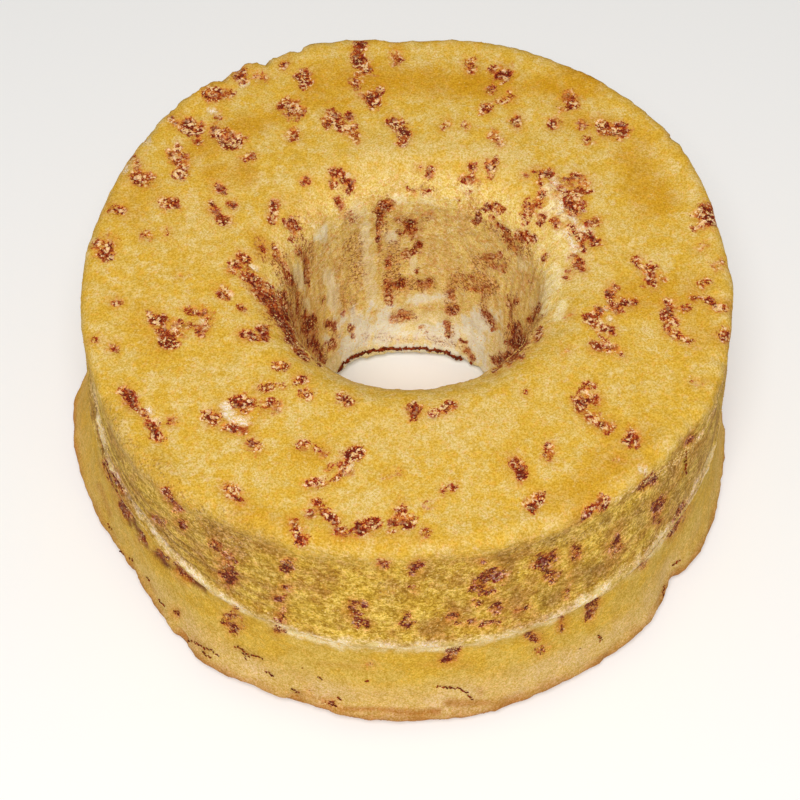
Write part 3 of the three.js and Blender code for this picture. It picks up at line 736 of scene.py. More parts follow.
RIDGE_LINE_HALF_WIDTH = 1.9
ridge_line = RIDGE_HEIGHT - 2.5 + 0.9 * lumps(plain, 14, 8)
broken = smooth_step(lumps(plain, 7, 9) + 0.6 * lumps(plain, 2.2, 10), -0.8, 0.3)
crest_unseen = np.exp(-(((height - ridge_line) / RIDGE_LINE_HALF_WIDTH) ** 2))
crest_seen = smooth_step(closeness_to_way(PALE_RIDGE_WAY) + 0.9 * ragged_edge, -0.35, 0.85)
crest_highlight = np.where(seen, 0.15, smooth_step(lumps(plain, 24, 48), -0.4, 0.3))
crest_highlight = np.maximum(crest_highlight, laid_on(RIDGE_HIGHLIGHTS, 0.6 * ragged_edge, 0.0, 0.6))
crest = outside * np.where(seen, crest_seen, crest_unseen) * (0.18 + 0.82 * broken * crest_highlight)
# The crevice mask also sets where painted shadow darkens the crust under the ridge.
crevice = smooth_step(closeness_to_way(CREVICE_WAY) + 1.0 * ragged_edge, -0.1, 0.6)
crevice *= 0.25 + 0.75 * smooth_step(lumps(plain, 4.5, 46) + 0.5 * lumps(plain, 2, 47), -0.5, 0.4)
print("ridge shows on", round(float((area * crest).sum()) / 100, 1), "square centimetres")

# %% [markdown]
# ## Wall, band and rim
# The outer wall baked darker than the top. Below the ridge the band turns from yellow to a smooth tan, with
# an orange-brown edge where the batter lay on hot metal. On the right a pale line follows the rim: pale
# crumbs, and a painted highlight along the rim's edge.

# %% Wall, band and rim
BAKED_PATCHES = [
    (250, 655, 40, 12, 30, 0.5), (470, 703, 56, 12, 0, 0.8), (390, 711, 110, 12, 2, 1.0),
    (310, 696, 40, 10, 15, 0.6), (560, 683, 90, 8, -20, 0.7), (200, 645, 30, 12, 40, 0.5),
    (150, 585, 30, 10, 55, 0.5), (105, 500, 40, 8, 70, 0.5), (660, 600, 30, 6, -60, 0.6),
    (445, 665, 60, 10, 0, 0.25), (340, 665, 50, 10, 5, 0.25), (480, 690, 14, 12, 60, 0.6),
]
RIM_WAY = [
    (722, 372, 3), (713, 408, 4), (701, 436, 6), (683, 458, 7), (660, 474, 7), (640, 487, 6), (612, 501, 4),
]
SHARP_RIM_AT = -48  # on the front right the top meets the wall in a clean line
sharp_rim = np.exp(-(((azimuth - SHARP_RIM_AT) / 26) ** 2))
wall_end = height + 3.0 * lumps(plain, 8, 7) * (1 - 0.6 * sharp_rim) + 1.5 * sharp_rim * lumps(plain, 2.6, 45)
on_wall = outside * (1 - smooth_step(wall_end, CAKE_HEIGHT - 12 + 7 * sharp_rim, CAKE_HEIGHT - 1 - sharp_rim))
tan_band = outside * off_table * (1 - smooth_step(height + 4 * lumps(plain, 18, 11), 16, 32))
tan_band = tan_band * (0.3 + 0.7 * smooth_step(np.cos(turn + math.radians(85)), 0.4, 0.9))
baked_edge = outside * (1 - smooth_step(height + 3 * lumps(plain, 7, 12), 5, 14))
baked_edge = np.maximum(baked_edge, laid_on(BAKED_PATCHES, cloud_edge))
# The pale line along the right rim: pale crumb with painted highlight on the rim's edge.
rim_highlight = 0.7 * smooth_step(closeness_to_way(RIM_WAY) + 1.6 * ragged_edge, 0.0, 0.8)
print("wall covers", round(100 * float((area * on_wall).sum() / area.sum())), "percent of the skin")

# %% [markdown]
# The wall is darker and greyer in places, partly in the crust's own uneven tone and partly as painted shade,
# most of all on the left and just below the rim at the front right. On the front brown drips lean across it.
# The far side, and the near side of the hole, are warmed towards orange: painted colour that offsets the
# olive look that shade gives them.

# %% Darker, shaded and warmed places
# Darker, greyer wall patches: partly the crust's own tone, partly painted shade.
DULL_AND_SHADE_PATCHES = [
    (175, 495, 130, 56, 52, 0.6), (215, 528, 80, 36, 45, 0.8), (125, 440, 100, 34, 65, 0.7),
    (690, 478, 70, 20, 120, 0.55), (645, 508, 70, 24, 145, 0.8), (590, 530, 70, 24, 155, 0.85),
    (530, 546, 70, 22, 165, 0.8), (660, 530, 60, 14, 130, 0.6), (605, 560, 60, 14, 145, 0.5),
    (250, 525, 80, 20, 30, 0.5), (640, 520, 90, 26, 140, 0.4), (400, 590, 60, 26, 0, 0.5),
    (560, 540, 120, 20, -20, 0.5), (470, 580, 90, 40, 0, 0.4), (340, 560, 80, 18, 10, 0.3),
    (170, 540, 60, 20, 50, 0.5), (280, 590, 60, 40, 60, 0.3),
]
dull_unseen = 0.8 * smooth_step(lumps(plain * [1, 1, 2], 20, 39), 0.0, 0.6) * on_wall
dull_and_shade = np.where(seen, laid_on(DULL_AND_SHADE_PATCHES, 1.3 * cloud_edge, 0.0, 0.8), dull_unseen)
around_wall = np.stack([turn * radius, turn * 0, height / 3.5 + 0.25 * turn * radius], axis=-1)
drip = smooth_step(lumps(around_wall, 5, 43) + 0.6 * lumps(around_wall, 2.2, 44), 0.1, 0.8)
drip *= on_wall * smooth_step(height, RIDGE_HEIGHT, RIDGE_HEIGHT + 6)
drip *= 0.4 + 0.6 * smooth_step(np.cos(turn + math.radians(40)), 0.5, 0.9)
# The far side and the hole's near side get painted warmth that offsets the olive look of their shade.
far_side = smooth_step(np.sin(turn), -0.45, 0.3)
near_side = smooth_step(-np.sin(turn), 0.2, 0.7)
shaded_side_warmth = outside * (1 - smooth_step(wall_end, CAKE_HEIGHT - 8, CAKE_HEIGHT)) * far_side
shaded_side_warmth += 0.6 * in_hole * near_side
print("masks made for", ROWS * COLUMNS, "points")

# %% [markdown]
# ## Small relief
# Now the plain form gets its real skin. Each rule adds a height along the outward direction: soft
# swellings, small lumps, pits where sprinkles melted, torn hollows, creases that the pan left on the left
# wall, streaks in the hole. The foot stays flat, so that the cake still stands.

# %% Relief
free = off_table * smooth_step(height, 0.5, 4)
swell = 0.5 * lumps(plain, 24, 21) + 0.28 * lumps(plain, 8, 22) + 0.16 * lumps(plain, 3.6, 23)
pitted = -0.45 * sprinkle + 0.35 * sprinkle * lumps(plain, 1.7, 24)
hollow = -0.8 * torn + 0.4 * torn * lumps(plain, 2.2, 25)
ridge_crumb = crest * (0.2 + 0.6 * lumps(plain, 2.4, 26))
crevice_cut = -1.0 * crevice
front_side = smooth_step(np.cos(turn + math.radians(75)), 0.2, 0.7)
ridge_fill = 1.6 * outside * front_side * np.exp(-(((height - RIDGE_HEIGHT + 3.4) / 2.2) ** 2))

LEFT_AT = -160
left_side = np.exp(-(((np.mod(azimuth - LEFT_AT + 180, 360) - 180) / 42) ** 2))
CREASES = [(61, 0.8), (67, 0.9), (73.5, 0.7), (81, 0.6), (88, 0.4), (44, 0.4), (38, 0.3)]
crease_cut = np.zeros((ROWS, COLUMNS))
for crease_height, depth in CREASES:
    line = crease_height + 1.6 * lumps(plain * [1, 1, 0], 22, int(crease_height))
    crease_cut -= depth * np.exp(-(((height - line) / 1.0) ** 2)) * left_side * outside

around_hole = np.stack([azimuth * 0.7, azimuth * 0, height / 7], axis=-1)
streaks = in_hole * (0.3 * lumps(around_hole, 3.2, 27) + 0.2 * lumps(around_hole, 1.3, 28))
streaks += in_hole * 0.35 * lumps(plain, 1.9, 40)
edge_crumb = at_edge * (0.45 * lumps(plain, 5.5, 29) + 0.4 * lumps(plain, 2.1, 30))
scallops = -1.0 * at_edge * outside * lip_wobble(azimuth)

relief = free * (swell + pitted + hollow + ridge_crumb + crevice_cut + ridge_fill + crease_cut)
lip_trim = at_edge * dents([(-57, 10, -0.9)])(azimuth)
relief += free * (streaks + edge_crumb + scallops + lip_trim)

# %% [markdown]
# Three more rules finish the relief. The rim is sharper than the solid's, above all at the back, so its
# corner is filled out and left crumbly. A few chips are missing from the rim and the lip. And the foot of
# the hole's far wall stands a little further in.

# %% Rim, chips and foot
rim_up, rim_out = np.maximum(height - wall_top[1], 0), np.maximum(radius - top_outer[0], 0.01)
rim_turn = np.degrees(np.arctan2(rim_up, rim_out))
at_rim = np.exp(-(((rim_turn - 48) / 26) ** 2)) * (height > wall_top[1] - 1) * (radius > top_outer[0] - 1)
RIM_DENTS = [(28, 14, 1.6), (157, 17, -1.9), (112, 8, -0.8), (60, 14, -0.5), (8, 10, 0.8)]
rim_reach = 2.3 + dents(RIM_DENTS)(azimuth)
ragged_rim = 0.8 + dents([(125, 24, 0.8), (-40, 26, 1.3)])(azimuth)
relief += at_rim * (rim_reach + ragged_rim * (0.35 * lumps(plain, 3.4, 41) + 0.3 * lumps(plain, 1.8, 42)))

CHIPS = [
    (118, 104, 2.6, 1.8), (111, 104, 2.2, 1.4), (127, 104, 2.4, 1.4), (138, 103, 2.0, 1.2),
    (30.5, 103, 2.0, 3.4), (14, 101, 1.6, 2.2), (-132, 8, 3.5, 2.4), (-35, 7, 4.5, 1.5), (-109, 8, 3.0, 1.6),
    (-147, 6, 3.0, 1.6), (-55, 7, 2.0, 1.2), (165, 8, 2.5, 1.8), (70, 7, 3.5, 2.4), (100, 8, 2.5, 1.8),
    (25, 7, 3.0, 2.0),
]
for chip_azimuth, chip_height, chip_width, chip_depth in CHIPS:
    across = np.radians(np.mod(azimuth - chip_azimuth + 180, 360) - 180) * radius
    apart = np.hypot(across, height - chip_height) / chip_width + 0.25 * ragged_edge
    relief -= free * outside * (radius > top_outer[0] + 2) * chip_depth * (1 - smooth_step(apart, 0.5, 1.2))
far_foot = in_hole * (1 - smooth_step(height, 8, 26)) * np.exp(-(((azimuth - 88) / 30) ** 2))
relief += free * 2.0 * far_foot
skin = plain + relief[..., None] * out
skin_out = outward(skin)
print("relief from", round(float(relief.min()), 2), "to", round(float(relief.max()), 2), "mm")

# %% [markdown]
# ## From arrays to a mesh
# `make_mesh` writes points, faces and masks straight into Blender. It also lays out a UV map called
# OFBake, which is how the finish travels with an exported model: round the cake is across, along the
# outline is up.

# %% Mesh maker
def make_mesh(name, points, polygons, masks, uv):
    """A mesh object from points in millimetres, faces with the same number of corners, and masks."""
    sides = polygons.shape[1]
    mesh = bpy.data.meshes.new(name)
    mesh.vertices.add(len(points))
    mesh.vertices.foreach_set("co", (points * MM).astype(np.float32).ravel())
    mesh.loops.add(polygons.size)
    mesh.loops.foreach_set("vertex_index", polygons.astype(np.int32).ravel())
    mesh.polygons.add(len(polygons))
    mesh.polygons.foreach_set("loop_start", np.arange(0, polygons.size, sides, dtype=np.int32))
    mesh.polygons.foreach_set("use_smooth", np.full(len(polygons), True))
    for mask_name, values in masks.items():
        attribute = mesh.attributes.new(mask_name, "FLOAT", "POINT")
        attribute.data.foreach_set("value", values.astype(np.float32).ravel())
    layer = mesh.uv_layers.new(name="OFBake")
    layer.data.foreach_set("uv", uv.astype(np.float32).ravel())
    mesh.update()
    mesh.validate()
    piece = bpy.data.objects.new(name, mesh)
    bpy.context.scene.collection.objects.link(piece)
    return piece


streak = in_hole * smooth_step(lumps(around_hole, 2.4, 35), 0.0, 0.7)
band = 1 - smooth_step(height, RIDGE_HEIGHT - 6, RIDGE_HEIGHT - 1)
masks = dict(
    sprinkle=sprinkle, halo=halo, torn=torn, cream=cream, on_wall=on_wall, crest=crest, tan_band=tan_band,
    baked_edge=baked_edge, crevice=crevice, in_hole=in_hole, amber=amber, pale=pale, streak=streak,
    smear=smear, shaded_side_warmth=shaded_side_warmth, dull_and_shade=dull_and_shade, rim_highlight=rim_highlight, drip=drip, band=band,
    crease_shadow=np.clip(-1.6 * crease_cut, 0, 1),
)
outline_length = np.concatenate([[0], np.cumsum(np.linalg.norm(np.diff(outline, axis=0), axis=1))])
outline_share = np.append(outline_length / (outline_length[-1] + 1), 1.0)
face_row, face_column = np.meshgrid(np.arange(ROWS), np.arange(COLUMNS), indexing="ij")
corner_u = np.stack([face_column, face_column + 1, face_column + 1, face_column], axis=-1) / COLUMNS
corner_v = outline_share[np.stack([face_row, face_row, face_row + 1, face_row + 1], axis=-1)]
crust_uv = np.stack([corner_u, corner_v], axis=-1)
crust = make_mesh("cake_crust", skin.reshape(-1, 3), faces, masks, crust_uv)
print(crust.name, len(crust.data.polygons), "faces", [round(d, 4) for d in crust.dimensions])

# %% [markdown]
# ## Finishes
# A material in Blender is a small graph of nodes. `Finish` is a workbench for one: each method adds a
# node and hands back its output, so a finish reads like a recipe. Colours are given as the eye sees them,
# 0 to 255, and turned into the linear light that shaders work in.

# %% A workbench for finishes
def paint(red, green, blue):
    """A colour as the eye sees it, turned into linear light."""
    parts = [c / 255 for c in (red, green, blue)]
    return [c / 12.92 if c <= 0.04045 else ((c + 0.055) / 1.055) ** 2.4 for c in parts] + [1.0]


class Finish:
    def __init__(self, name, roughness, ground, specular=0.5):
        self.material = bpy.data.materials.new(name)
        self.material.use_nodes = True
        self.nodes = self.material.node_tree.nodes
        self.links = self.material.node_tree.links
        self.shader = self.nodes["Principled BSDF"]
        self.shader.inputs["Roughness"].default_value = roughness
        self.shader.inputs["Specular IOR Level"].default_value = specular
        self.colour = ground
        self.place = self.nodes.new("ShaderNodeTexCoord").outputs["Object"]

    def add(self, kind, **settings):
        node = self.nodes.new("ShaderNode" + kind)
        for key, value in settings.items():
            setattr(node, key, value)
        return node

    def put(self, socket, value):
        if isinstance(value, bpy.types.NodeSocket):
            self.links.new(value, socket)
        else:
            socket.default_value = value

    def mask(self, name):
        return self.add("Attribute", attribute_name=name).outputs["Fac"]

    def noise(self, size, detail=2.0, roughness=0.5):
        """Noise with features of about this size in millimetres."""
        node = self.add("TexNoise")
        self.links.new(self.place, node.inputs["Vector"])
        node.inputs["Scale"].default_value = 1 / (size * MM)
        node.inputs["Detail"].default_value = detail
        node.inputs["Roughness"].default_value = roughness
        return node.outputs["Fac"]

    def sums(self, operation, first, second=0.0):
        node = self.add("Math", operation=operation)
        self.put(node.inputs[0], first)
        self.put(node.inputs[1], second)
        return node.outputs[0]

    def times(self, first, second):
        return self.sums("MULTIPLY", first, second)

    def plus(self, first, second):
        return self.sums("ADD", first, second)

    def without(self, first, second):
        return self.sums("SUBTRACT", first, second)

    def between(self, value, low, high, start=0.0, end=1.0):
        """start where the value is low, end where it is high, and a smooth change between."""
        node = self.add("MapRange", interpolation_type="SMOOTHSTEP")
        self.put(node.inputs["Value"], value)
        node.inputs["From Min"].default_value = low
        node.inputs["From Max"].default_value = high
        node.inputs["To Min"].default_value = start
        node.inputs["To Max"].default_value = end
        return node.outputs[0]

    def layer(self, below, share, above, blend="MIX"):
        """A colour laid over another where share is 1."""
        node = self.add("Mix", data_type="RGBA", blend_type=blend, clamp_factor=True)
        self.put(node.inputs["Factor"], share)
        self.put(node.inputs["A"], below)
        self.put(node.inputs["B"], above)
        return node.outputs["Result"]

    def lay(self, share, above, blend="MIX"):
        """A colour laid over all that this finish has so far."""
        self.colour = self.layer(self.colour, share, above, blend)

    def bump(self, height_value, distance, under=None):
        node = self.add("Bump")
        node.inputs["Strength"].default_value = 1.0
        node.inputs["Distance"].default_value = distance * MM
        self.links.new(height_value, node.inputs["Height"])
        if under is not None:
            self.links.new(under, node.inputs["Normal"])
        return node.outputs["Normal"]

    def wear(self, piece, normal=None):
        self.put(self.shader.inputs["Base Color"], self.colour)
        if normal is not None:
            self.links.new(normal, self.shader.inputs["Normal"])
        piece.data.materials.append(self.material)


print("a finish for the eye's", (222, 178, 78), "is", [round(c, 3) for c in paint(222, 178, 78)])

# %% [markdown]
# ## The crust's finish
# The crust is a fine golden crumb, mottled with amber where the sugar browned. Its layers go on in the order
# that the oven made them: gold, amber clouds, the darker wall, the tan band and browned edge, the pale crumb,
# then the stain round each sprinkle. Painted light goes in among them: painted shade in the creases, the
# crevice and parts of the wall, painted highlight on the ridge and the right rim, and a lighter gold in the
# hole and a warmer far side to offset their shade.

# %% Crust finish
GOLD = paint(216, 180, 82)
GOLD_DEEP = paint(213, 169, 50)
AMBER = paint(200, 146, 20)
PALE_GOLD = paint(222, 192, 110)
WALL_GOLD = paint(216, 181, 60)
WALL_BROWN = paint(184, 137, 46)
BAND_GOLD = paint(206, 170, 66)
DULL_AND_SHADE = paint(174, 134, 58)
PEPPER = paint(120, 84, 44)
DRIP_BROWN = paint(146, 106, 42)
CREASE_SHADOW = paint(128, 90, 42)
TAN = paint(220, 186, 116)
BAKED = paint(176, 116, 44)
BAND_YELLOW = paint(208, 166, 48)
CREAM = paint(246, 240, 206)
PALE_CREAM = paint(248, 230, 160)
TORN = paint(232, 214, 168)
HOLE_GOLD_AND_PAINTED_LIGHT = paint(246, 219, 118)
HOLE_BROWN = paint(214, 164, 82)
SMEAR = paint(222, 154, 72)
SMEAR_SPECK = paint(140, 66, 24)
STAIN = paint(198, 134, 46)
SOAKED = paint(212, 130, 48)
SOAKED_DEEP = paint(172, 84, 28)
RED_BROWN = paint(152, 50, 14)
DARK_BROWN = paint(98, 26, 9)
BLEACHED = paint(242, 202, 134)
CREST_PALE_AND_HIGHLIGHT = paint(246, 228, 170)
RIM_HIGHLIGHT = paint(240, 206, 130)
SHADOW_BROWN = paint(112, 56, 24)
SHADE_WARMING = [1.16, 1.03, 0.80, 1]

crust_finish = Finish("golden_crust", 0.8, GOLD, specular=0.12)
f = crust_finish
soft = f.noise(9, 3, 0.6)
f.lay(f.between(f.noise(7, 5, 0.75), 0.42, 0.6), GOLD_DEEP)
f.lay(f.times(f.mask("pale"), 0.8), PALE_GOLD)
mottle = f.noise(4.2, 3, 0.65)
f.lay(f.between(mottle, 0.5, 0.64, 0.0, 0.8), PALE_GOLD)
f.lay(f.between(mottle, 0.36, 0.48, 0.8, 0.0), GOLD_DEEP)
f.lay(f.times(f.mask("amber"), f.between(soft, 0.3, 0.6, 0.6, 1.0)), AMBER)
wall_colour = f.layer(WALL_GOLD, f.between(f.noise(15, 7, 0.8), 0.42, 0.6), WALL_BROWN)
# Painted shadow: the wall is darkened along the creases on the left.
wall_colour = f.layer(wall_colour, f.mask("crease_shadow"), CREASE_SHADOW)
band_colour = f.layer(BAND_GOLD, f.between(f.noise(12, 5, 0.7), 0.44, 0.58), BAND_YELLOW)
wall_colour = f.layer(wall_colour, f.mask("band"), band_colour)
f.lay(f.mask("on_wall"), wall_colour)
# Partly painted shade: parts of the wall are darkened and greyed.
f.lay(f.times(f.mask("dull_and_shade"), 0.48), DULL_AND_SHADE)
f.lay(f.times(f.mask("drip"), 0.5), DRIP_BROWN)
pepper = f.times(f.mask("dull_and_shade"), f.between(f.noise(1.1, 2, 0.7), 0.54, 0.64, 0.0, 0.8))
f.lay(pepper, PEPPER)
# The hole's gold is lighter than the crumb itself: painted light that offsets the shade inside the hole.
hole_colour = f.layer(HOLE_GOLD_AND_PAINTED_LIGHT, f.times(f.mask("streak"), 0.5), HOLE_BROWN)
hole_colour = f.layer(hole_colour, f.between(f.noise(2.4, 4, 0.75), 0.50, 0.60, 0.0, 0.7), PALE_CREAM)
hole_colour = f.layer(hole_colour, f.between(f.noise(1.9, 4, 0.75), 0.52, 0.62, 0.0, 0.75), SMEAR)
f.lay(f.times(f.mask("in_hole"), 0.9), hole_colour)
tan_share = f.times(f.mask("tan_band"), f.between(f.noise(10, 4, 0.7), 0.36, 0.6, 1.0, 0.45))
f.lay(tan_share, TAN)
f.lay(f.times(f.mask("baked_edge"), 0.9), BAKED)
fibre = f.between(f.noise(1.3, 4, 0.75), 0.36, 0.56, 0.35, 1.0)
f.lay(f.between(f.mask("cream"), 0.0, 0.5), PALE_CREAM)
f.lay(f.between(f.mask("cream"), 0.5, 0.95), CREAM)
f.lay(f.times(f.mask("smear"), f.times(fibre, 0.6)), SMEAR)
specks = f.between(f.noise(0.95, 3, 0.75), 0.505, 0.57, 0.0, 0.95)
f.lay(f.times(f.between(f.mask("smear"), 0.02, 0.5), specks), SMEAR_SPECK)
stained = f.times(f.mask("halo"), f.between(f.mask("in_hole"), 0.0, 0.8, 0.62, 0.08))
f.lay(stained, STAIN)
f.lay(f.mask("torn"), TORN)
# The ridge's crest: pale crumb with painted highlight laid in.
f.lay(f.mask("crest"), CREST_PALE_AND_HIGHLIGHT)
# Painted highlight along the right rim's edge.
rim_share = f.times(f.mask("rim_highlight"), f.between(f.noise(2.2, 3, 0.7), 0.46, 0.6))
f.lay(rim_share, RIM_HIGHLIGHT)
# Painted shadow: the crevice under the ridge is darkened.
f.lay(f.mask("crevice"), SHADOW_BROWN)
# Painted warmth on the shaded far side and the hole's near side, against the olive look of shade.
f.lay(f.mask("shaded_side_warmth"), SHADE_WARMING, "MULTIPLY")

# %% [markdown]
# The melted sprinkles go on last. Chocolate first soaked in, then dried in crooked threads, which are the
# places where a noise crosses its middle value. A wider noise makes some patches rich and others thin,
# and in a few the bleached crumb shows between the threads.

# %% Chocolate in the crust
sprinkle_mask = f.mask("sprinkle")
richness = f.between(f.noise(3.4, 2, 0.5), 0.34, 0.66, -0.42, 0.34)
loose = f.between(f.noise(1.5, 3, 0.7), 0.35, 0.65, -0.35, 0.3)
soaked = f.between(f.plus(sprinkle_mask, loose), 0.05, 0.75, 0.0, 0.85)
soak_colour = f.layer(SOAKED, f.between(f.noise(2.1, 2), 0.42, 0.6), SOAKED_DEEP)
soaked = f.times(soaked, f.between(f.mask("on_wall"), 0.3, 0.9, 1.0, 0.6))
f.lay(soaked, soak_colour)
off_thread = f.sums("ABSOLUTE", f.without(f.noise(1.25, 2, 0.65), 0.5))
thread_reach = f.plus(f.times(sprinkle_mask, 1.15), -0.2)
thread_reach = f.plus(thread_reach, f.times(richness, f.between(sprinkle_mask, 0.0, 0.3)))
thread = f.without(thread_reach, f.times(off_thread, 6.5))
f.lay(f.between(thread, -0.05, 0.22), RED_BROWN)
core = f.without(thread, f.between(f.noise(0.9, 2), 0.4, 0.6, 0.3, 0.7))
core = f.plus(core, f.times(f.mask("on_wall"), 0.32))
f.lay(f.between(core, 0.0, 0.15), DARK_BROWN)
blob = f.times(f.between(sprinkle_mask, 0.35, 0.8), f.between(f.noise(2.3, 2, 0.6), 0.53, 0.62))
f.lay(f.times(blob, f.between(f.mask("in_hole"), 0.0, 0.8, 0.6, 0.25)), DARK_BROWN)
gap_patch = f.between(f.noise(5, 1), 0.40, 0.56, 0.2, 0.9)
gap_place = f.times(f.between(f.noise(1.4, 2), 0.50, 0.60), gap_patch)
gaps = f.times(f.between(sprinkle_mask, 0.15, 0.5), gap_place)
gaps = f.times(gaps, f.between(f.mask("on_wall"), 0.2, 0.8, 1.0, 0.3))
gaps = f.times(gaps, f.between(f.mask("smear"), 0.1, 0.5, 1.0, 0.35))
f.lay(gaps, BLEACHED)
print("chocolate laid over the crust")

# %% [markdown]
# Grain as fine as sugar lies over everything. It lightens and darkens the crust, mostly in the blue, and
# stands up a little. Tiny painted highlights, glints laid into the colour, make the surface glitter faintly
# as a dry sponge does.

# %% Grain
GRAIN_LOW = [0.84, 0.77, 0.42, 1]
GRAIN_HIGH = [1.13, 1.18, 1.70, 1]
BLOTCH_LOW = [0.64, 0.54, 0.22, 1]
BLOTCH_HIGH = [1.28, 1.32, 2.20, 1]
PATCH_LOW = [0.84, 0.78, 0.50, 1]
PATCH_HIGH = [1.10, 1.14, 1.40, 1]
GLINT_HIGHLIGHT = paint(242, 210, 136)
grain = f.noise(0.68, 3, 0.75)
grain_shade = f.layer(GRAIN_LOW, f.between(grain, 0.38, 0.61), GRAIN_HIGH)
smooth_share = f.sums("MAXIMUM", f.mask("cream"), f.mask("crest"))
f.lay(f.without(1.0, f.times(smooth_share, 0.65)), grain_shade, "MULTIPLY")
upper_wall = f.without(f.mask("on_wall"), f.times(f.mask("band"), 0.88))
rough_share = f.sums("MAXIMUM", upper_wall, f.times(f.mask("in_hole"), 0.15))
rough_share = f.plus(f.times(rough_share, 0.75), 0.2)
rough_share = f.times(rough_share, f.without(1.0, f.times(smooth_share, 0.8)))
blotch = f.layer(BLOTCH_LOW, f.between(f.noise(1.5, 4, 0.8), 0.40, 0.60), BLOTCH_HIGH)
f.lay(rough_share, blotch, "MULTIPLY")
patchy = f.layer(PATCH_LOW, f.between(f.noise(5, 3, 0.7), 0.40, 0.58), PATCH_HIGH)
f.lay(f.times(f.without(f.mask("on_wall"), f.times(f.mask("band"), 0.5)), 0.9), patchy, "MULTIPLY")
# Painted highlights: tiny glints lightened into the colour.
glint = f.between(f.noise(0.95, 1), 0.66, 0.76)
f.lay(f.times(glint, f.plus(f.times(rough_share, 0.3), 0.35)), GLINT_HIGHLIGHT)
crumb = f.bump(f.noise(2.4, 3, 0.6), 0.3)
crumb = f.bump(grain, 0.2, under=crumb)
f.wear(crust, crumb)
print(crust_finish.material.name, "has", len(f.nodes), "nodes")

# %% [markdown]
# ## Grains of chocolate
# A bump map can't give a sprinkle's glint, so the dark specks are real: thousands of flat-sided flakes,
# half a millimetre to a millimetre long, sunk to the waist in the crust. Each is an octahedron, the
# cheapest form that looks round from every side. `scatter` draws their places with a chance that follows
# a mask.

# %% Scattering
FLAKE_CORNERS = np.array([(1, 0, 0), (-1, 0, 0), (0, 1, 0), (0, -1, 0), (0, 0, 1), (0, 0, -1)], float)
FLAKE_FACES = np.array([
    (0, 2, 4), (2, 1, 4), (1, 3, 4), (3, 0, 4), (2, 0, 5), (1, 2, 5), (3, 1, 5), (0, 3, 5),
])


def scatter(weight, count):
    """Random places on the skin: their points, outward directions and grid places."""
    row, column = pick_places(weight * area, count)
    shift_row, shift_column = rng.random((2, count, 1))
    next_row, next_column = (row + 1) % ROWS, (column + 1) % COLUMNS

    def blend(grid):
        low = grid[row, column] * (1 - shift_column) + grid[row, next_column] * shift_column
        high = grid[next_row, column] * (1 - shift_column) + grid[next_row, next_column] * shift_column
        return low * (1 - shift_row) + high * shift_row

    normal = blend(skin_out)
    return blend(skin), normal / np.linalg.norm(normal, axis=-1, keepdims=True), (row, column)


def make_flakes(name, points, normals, sizes, sunk, masks):
    """One flake at each point: sizes are length, width and thickness, sunk is in thicknesses."""
    count = len(points)
    helper = rng.normal(size=(count, 3))
    along = np.cross(normals, helper)
    along /= np.linalg.norm(along, axis=-1, keepdims=True)
    across = np.cross(normals, along)
    axes = np.stack([along, across, normals], axis=1) * (sizes / 2)[:, :, None]
    jitter = 1 + 0.35 * (rng.random((count, 6, 1)) - 0.5)
    corners = np.einsum("ck,nkd->ncd", FLAKE_CORNERS, axes) * jitter
    corners += (points - normals * (sunk * sizes[:, 2])[:, None])[:, None, :]
    polygons = (FLAKE_FACES[None] + 6 * np.arange(count)[:, None, None]).reshape(-1, 3)
    cells = math.ceil(math.sqrt(count))
    cell = np.stack([np.arange(count) % cells, np.arange(count) // cells], axis=-1)[:, None, None, :]
    corner = np.array([(0.2, 0.2), (0.8, 0.2), (0.5, 0.8)])[None, None]
    uv = np.broadcast_to((cell + corner) / cells, (count, 8, 3, 2))
    spread = {key: np.repeat(values, 6) for key, values in masks.items()}
    return make_mesh(name, corners.reshape(-1, 3), polygons, spread, uv)


CHOCOLATE_FLAKES = 6500
flake_points, flake_normals, _ = scatter(sprinkle**3, CHOCOLATE_FLAKES)
flake_sizes = rng.uniform([0.45, 0.35, 0.3], [1.05, 0.65, 0.5], (CHOCOLATE_FLAKES, 3))
flake_masks = {"tint": np.clip(rng.normal(0.5, 0.3, CHOCOLATE_FLAKES), 0, 1)}
flakes = make_flakes("chocolate_flakes", flake_points, flake_normals, flake_sizes, 0.2, flake_masks)
print(flakes.name, 8 * CHOCOLATE_FLAKES, "triangles")

# %% [markdown]
# Melted chocolate sets in many shades, from near-black plum where it is thick to orange-brown where it
# soaked thinly into crumb. The mask `tint` gives each flake its own shade.

# %% Chocolate finish
PLUM = paint(82, 16, 6)
ORANGE_BROWN = paint(188, 104, 38)

chocolate_finish = Finish("melted_chocolate", 0.5, PLUM, specular=0.06)
f = chocolate_finish
f.lay(f.between(f.mask("tint"), 0.1, 0.6), RED_BROWN)
f.lay(f.between(f.mask("tint"), 0.6, 1.0), ORANGE_BROWN)
f.lay(f.between(f.noise(0.5, 2), 0.4, 0.7, 0.0, 0.35), ORANGE_BROWN)
f.wear(flakes, f.bump(f.noise(0.3, 2), 0.08))
print(chocolate_finish.material.name, "has", len(f.nodes), "nodes")

# %% [markdown]
# ## Pale crumbs
# Between the specks, along the ridge and in the torn patches, bits of the white crumb show. They are made
# as the flakes are, a little rounder, in cream.

# %% Pale crumbs
PALE_CRUMBS = 5000
crumb_weight = 1.2 * torn + 0.9 * crest + 0.9 * rim_highlight + 0.12 * cream
crumb_weight += 0.12 * sprinkle * (1 - 0.8 * on_wall)
crumb_points, crumb_normals, _ = scatter(crumb_weight, PALE_CRUMBS)
crumb_sizes = rng.uniform([0.5, 0.45, 0.4], [1.2, 0.95, 0.8], (PALE_CRUMBS, 3))
crumb_masks = {"tint": rng.random(PALE_CRUMBS)}
pale_crumbs = make_flakes("pale_crumbs", crumb_points, crumb_normals, crumb_sizes, 0.1, crumb_masks)

